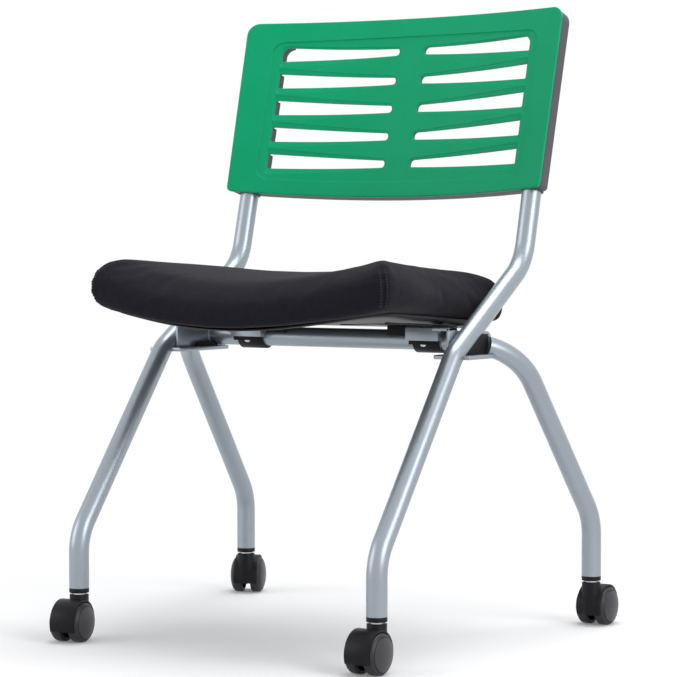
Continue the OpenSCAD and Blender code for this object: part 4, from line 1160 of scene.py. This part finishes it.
# %% The cushion's start shape
CUSHION, CROWN, LIFT, SMALLER, CAP = 54, 2, 10, 4.0, 8.0
BULGE, CORNER_RISE, MIDDLE_SINK, UNDER_RISE = 15.5, 7.0, 4.5, 7.0
BELLY_AT, BELLY_REACH, SIDE_SHARE, REAR_SHARE = 0.32, 0.74, 0.15, 0.3


def to_front(y):
    """Grows softly from 0 in the seat's middle to 1 at its front edge."""
    t = clamped((-y - 30) / 120)
    return t * t * (3 - 2 * t)


def top_level(share, drop):
    """Height function at a share of the cushion's thickness above the pan."""
    def level(x, y):
        wide = abs(x) / half_wide(y)
        crown = CROWN * max(0, 1 - (x / HALF_FRONT) ** 2) * max(
            0, 1 - ((y - MIDDLE) / (HALF_LEN + BOW_FRONT)) ** 2)
        lift = LIFT * wide ** 2 + (CORNER_RISE * min(wide, 1) ** 6
                                   * clamped((60 - y) / 250) ** 2)
        sink = MIDDLE_SINK * max(0, 1 - wide ** 2)
        return seat_low(x, y) + share * (CUSHION - drop + crown + lift - sink)
    return level


def bulged(x, y, z):
    """Foam hangs over the pan: most a third up its height, and at the front corners."""
    wide = abs(x) / half_wide(y)
    high = clamped((z - seat_low(x, y)) / (CUSHION + LIFT * wide ** 2))
    belly = 1 - ((high - BELLY_AT) / BELLY_REACH) ** 2
    to_rear = clamped((y - 20) / 90) ** 2
    out = BULGE * belly * (SIDE_SHARE + (1 - SIDE_SHARE) * to_front(y)
                           + REAR_SHARE * to_rear)
    corner = min(wide, 1) ** 16 * to_front(y)
    return (x * (1 + out / HALF_FRONT), MIDDLE + (y - MIDDLE) * (1 + out / HALF_LEN),
            z + UNDER_RISE * corner * (1 - high) ** 2)


foam_rings = [(inset, 0, 0) for inset in (150, 110, 75, 45, 24, 12)]
foam_rings += [(inset + SMALLER, share, 0) for inset, share in (
    (6, 0.02), (2, 0.09), (0.4, 0.2), (0, 0.35), (0, 0.5), (0.6, 0.66))]
foam_rings += [(inset + SMALLER, share, SMALLER) for inset, share in (
    (2.6, 0.8), (6, 0.91), (11, 0.97), (19, 1))]
foam_rings += [(inset, 1, SMALLER) for inset in (36, 60, 90, 120, 150)]
points, faces = skin(seat_outline(12, 27, 9),
                     [(inset, top_level(share, drop)) for inset, share, drop in foam_rings],
                     middle, top_level(1, SMALLER)(0, MIDDLE))
foam = linked("cushion_foam", mesh_of("cushion_start", [bulged(*p) for p in points], faces))
remesh = foam.modifiers.new("even mesh", "REMESH")
remesh.mode, remesh.voxel_size = "VOXEL", 4.6 * MM
even = evaluated(foam)
foam.modifiers.remove(remesh)
foam.data = even
print("cushion start has", len(even.polygons), "faces")

# %% Cushion swelled by a cloth simulation
GLUE_FULL, GLUE_NONE, CLOTH_FRAMES = 4, 9, 20
CLOTH = {"vertex_group_mass": "glued", "mass": 0.4, "tension_stiffness": 18,
         "compression_stiffness": 18, "shear_stiffness": 9, "bending_stiffness": 2.5,
         "use_pressure": True, "uniform_pressure_force": 4.0, "quality": 5}
start = [v.co.copy() for v in even.vertices]
held = foam.vertex_groups.new(name="glued")
for i, co in enumerate(start):
    above = co.z / MM - seat_low(co.x / MM, co.y / MM)
    held.add([i], clamped((GLUE_NONE - above) / (GLUE_NONE - GLUE_FULL)), "REPLACE")
cloth = foam.modifiers.new("cloth", "CLOTH")
for name, value in CLOTH.items():
    setattr(cloth.settings, name, value)
cloth.settings.effector_weights.gravity = 0
cloth.collision_settings.use_collision = False
cloth.collision_settings.use_self_collision = False
cloth.point_cache.frame_start, cloth.point_cache.frame_end = 1, CLOTH_FRAMES
for step in range(1, CLOTH_FRAMES + 1):
    bpy.context.scene.frame_set(step)
swelled = bpy.data.meshes.new_from_object(
    foam.evaluated_get(bpy.context.evaluated_depsgraph_get()))
moves = [v.co - s for v, s in zip(swelled.vertices, start)]
longest = max(m.length for m in moves)
for v, s, m in zip(even.vertices, start, moves):
    reach = m.length / MM
    v.co = s + (m * (CAP * math.tanh(reach / CAP) / reach) if reach > 1e-6 else m)
bpy.context.scene.frame_set(1)
foam.modifiers.remove(cloth)
bpy.data.meshes.remove(swelled)
print("pressure moved points up to", round(longest / MM, 1), "mm, cap", CAP, "mm")

# %% [markdown]
# The cover is sewn from a top with its front, and a side band. Their seams meet at the
# two front corners, each a groove with small puckers and a row of stitches. Remeshing
# would have erased a seam, so it is pressed in now, on the finer mesh: every point near
# the seam's upright plane moves inwards.

# %% Smoothing, corner seams and the finished cushion
SEAM_X, SEAM_Y, SEAM_DEEP, SEAM_WIDE = 210.0, -193.0, 2.4, 2.0
PUCKER, PUCKER_FADE, PUCKER_PITCH, SEAM_REACH = 0.5, 16, 13, 26
DIAGONAL = math.sqrt(0.5)

smooth = foam.modifiers.new("relax", "SMOOTH")
smooth.factor, smooth.iterations = 0.5, 6
fine = foam.modifiers.new("fine", "SUBSURF")
fine.levels = fine.render_levels = 1
cushion_mesh = evaluated(foam)
bpy.data.objects.remove(foam)
cushion_mesh.materials.clear()
for v in cushion_mesh.vertices:
    x, y, z = v.co / MM
    s = 1 if x > 0 else -1
    along = ((x * s - SEAM_X) + (y - SEAM_Y)) * DIAGONAL
    out = ((x * s - SEAM_X) - (y - SEAM_Y)) * DIAGONAL
    above = z - seat_low(x, y)
    if y > -120 or abs(x) < 120 or out < -SEAM_REACH or above < 2:
        continue
    fade = min((out + SEAM_REACH) / 18, 1) * min((above - 2) / 6, 1)
    groove = SEAM_DEEP * math.exp(-(along / SEAM_WIDE) ** 2)
    pucker = PUCKER * math.exp(-abs(along) / PUCKER_FADE) * math.sin(
        2 * math.pi * above / PUCKER_PITCH + along / 9)
    move = (groove - pucker) * fade * DIAGONAL * MM
    v.co.x -= s * move
    v.co.y += move
cushion = finished("seat_cushion_cover", cushion_mesh, fabric, "seat", "seat_fabric",
                   ["seat_cushion"], sharp=80)

# %% [markdown]
# The stitches are short thread loops, 3.5 mm apart, on both sides of each seam. Their
# places come from rays shot at the finished cushion, so they always lie on the cloth,
# and the same copying tree as for the screws sets one loop on each.

# %% Stitches beside the seams
STITCH_LONG, STITCH_R, STITCH_PITCH, STITCH_OFF, STITCHES = 2.4, 0.32, 3.5, 3.6, 13


def loop_of_thread(length, radius, sides=6, rings=5):
    """A stitch: a short thread that rises out of the cloth and dives back."""
    circle = [polar(radius, 2 * math.pi * k / sides) for k in range(sides)]
    points, rows = [], []
    for i in range(rings):
        t = i / (rings - 1)
        rise, y = radius * (1.6 * math.sin(math.pi * t) - 0.6), length * (t - 0.5)
        rows.append(list(range(len(points), len(points) + sides)))
        points += [(x, y, rise + z) for x, z in circle]
    return points, strips(rows, flip=True) + [tuple(rows[0]), tuple(rows[-1][::-1])]


surface = BVHTree.FromObject(cushion, bpy.context.evaluated_depsgraph_get())
stitches = []
for s, offset in ((s, t * STITCH_OFF) for s in (-1, 1) for t in (-1, 1)):
    x, y = (SEAM_X + offset * DIAGONAL) * s, SEAM_Y + offset * DIAGONAL
    for step in range(STITCHES):
        z = seat_low(x, y) + 6 + step * STITCH_PITCH
        hit, normal, _, _ = surface.ray_cast(Vector((x + 60 * s, y - 60, z)) * MM,
                                             Vector((-s, 1, 0)).normalized())
        if hit:
            stitches.append((hit / MM + normal * 0.1, normal))
spread("corner_stitches", loop_of_thread(STITCH_LONG, STITCH_R), stitches, "seat",
       "seat_fabric", thread)

# %% [markdown]
# Welds join the crossbar to the webs and the webs to the floor plates. A weld bead is
# a chain of overlapping ripples, so one flattened drop is copied every 1.7 mm along
# the joint, and the paint goes over everything.

# %% Weld beads by Geometry Nodes
BEAD_PITCH, BEAD_OFF, BEADS_ROUND, BEADS_STRAIGHT = 1.7, 0.6, 50, 10
profile = [(1 - t * t, t) for t in (0, 1 / 3, 2 / 3)]
points, faces = turned([(0, -0.3), (1, -0.3)] + profile + [(0, 1)], 8)
ripple = [(x * 2.0, y * 2.0, z * 1.5) for x, y, z in points], faces

beads = []
for _, s in SIDES:
    x = s * (WEB_IN - BEAD_OFF)
    for k in range(BEADS_ROUND):
        t = 2 * math.pi * k / BEADS_ROUND
        y, z = polar(TUBE_R + BEAD_OFF, t)
        beads.append(((x, HINGE_Y + y, HINGE_Z + z), (-s, math.cos(t), math.sin(t))))
    beads += [((x, first + k * BEAD_PITCH, PLATE_HIGH + BEAD_OFF), (-s, 0, 1))
              for first in (-26, 18, 50) for k in range(BEADS_STRAIGHT)]
spread("weld_beads", ripple, beads, "frame", "frame_paint", paint)

# %% [markdown]
# What is left of the engineering model is small and already right: the axles and the
# caps inside the sleeves. They only need their finish.

# %% Finish on the remaining hard parts
for name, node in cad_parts.items():
    if node.hide_render:
        continue
    finish = zinc if name.startswith("axle") else black_nylon
    for place in node.material_slots:
        place.material = finish.made
    print("kept", name, "in", finish.made.name)
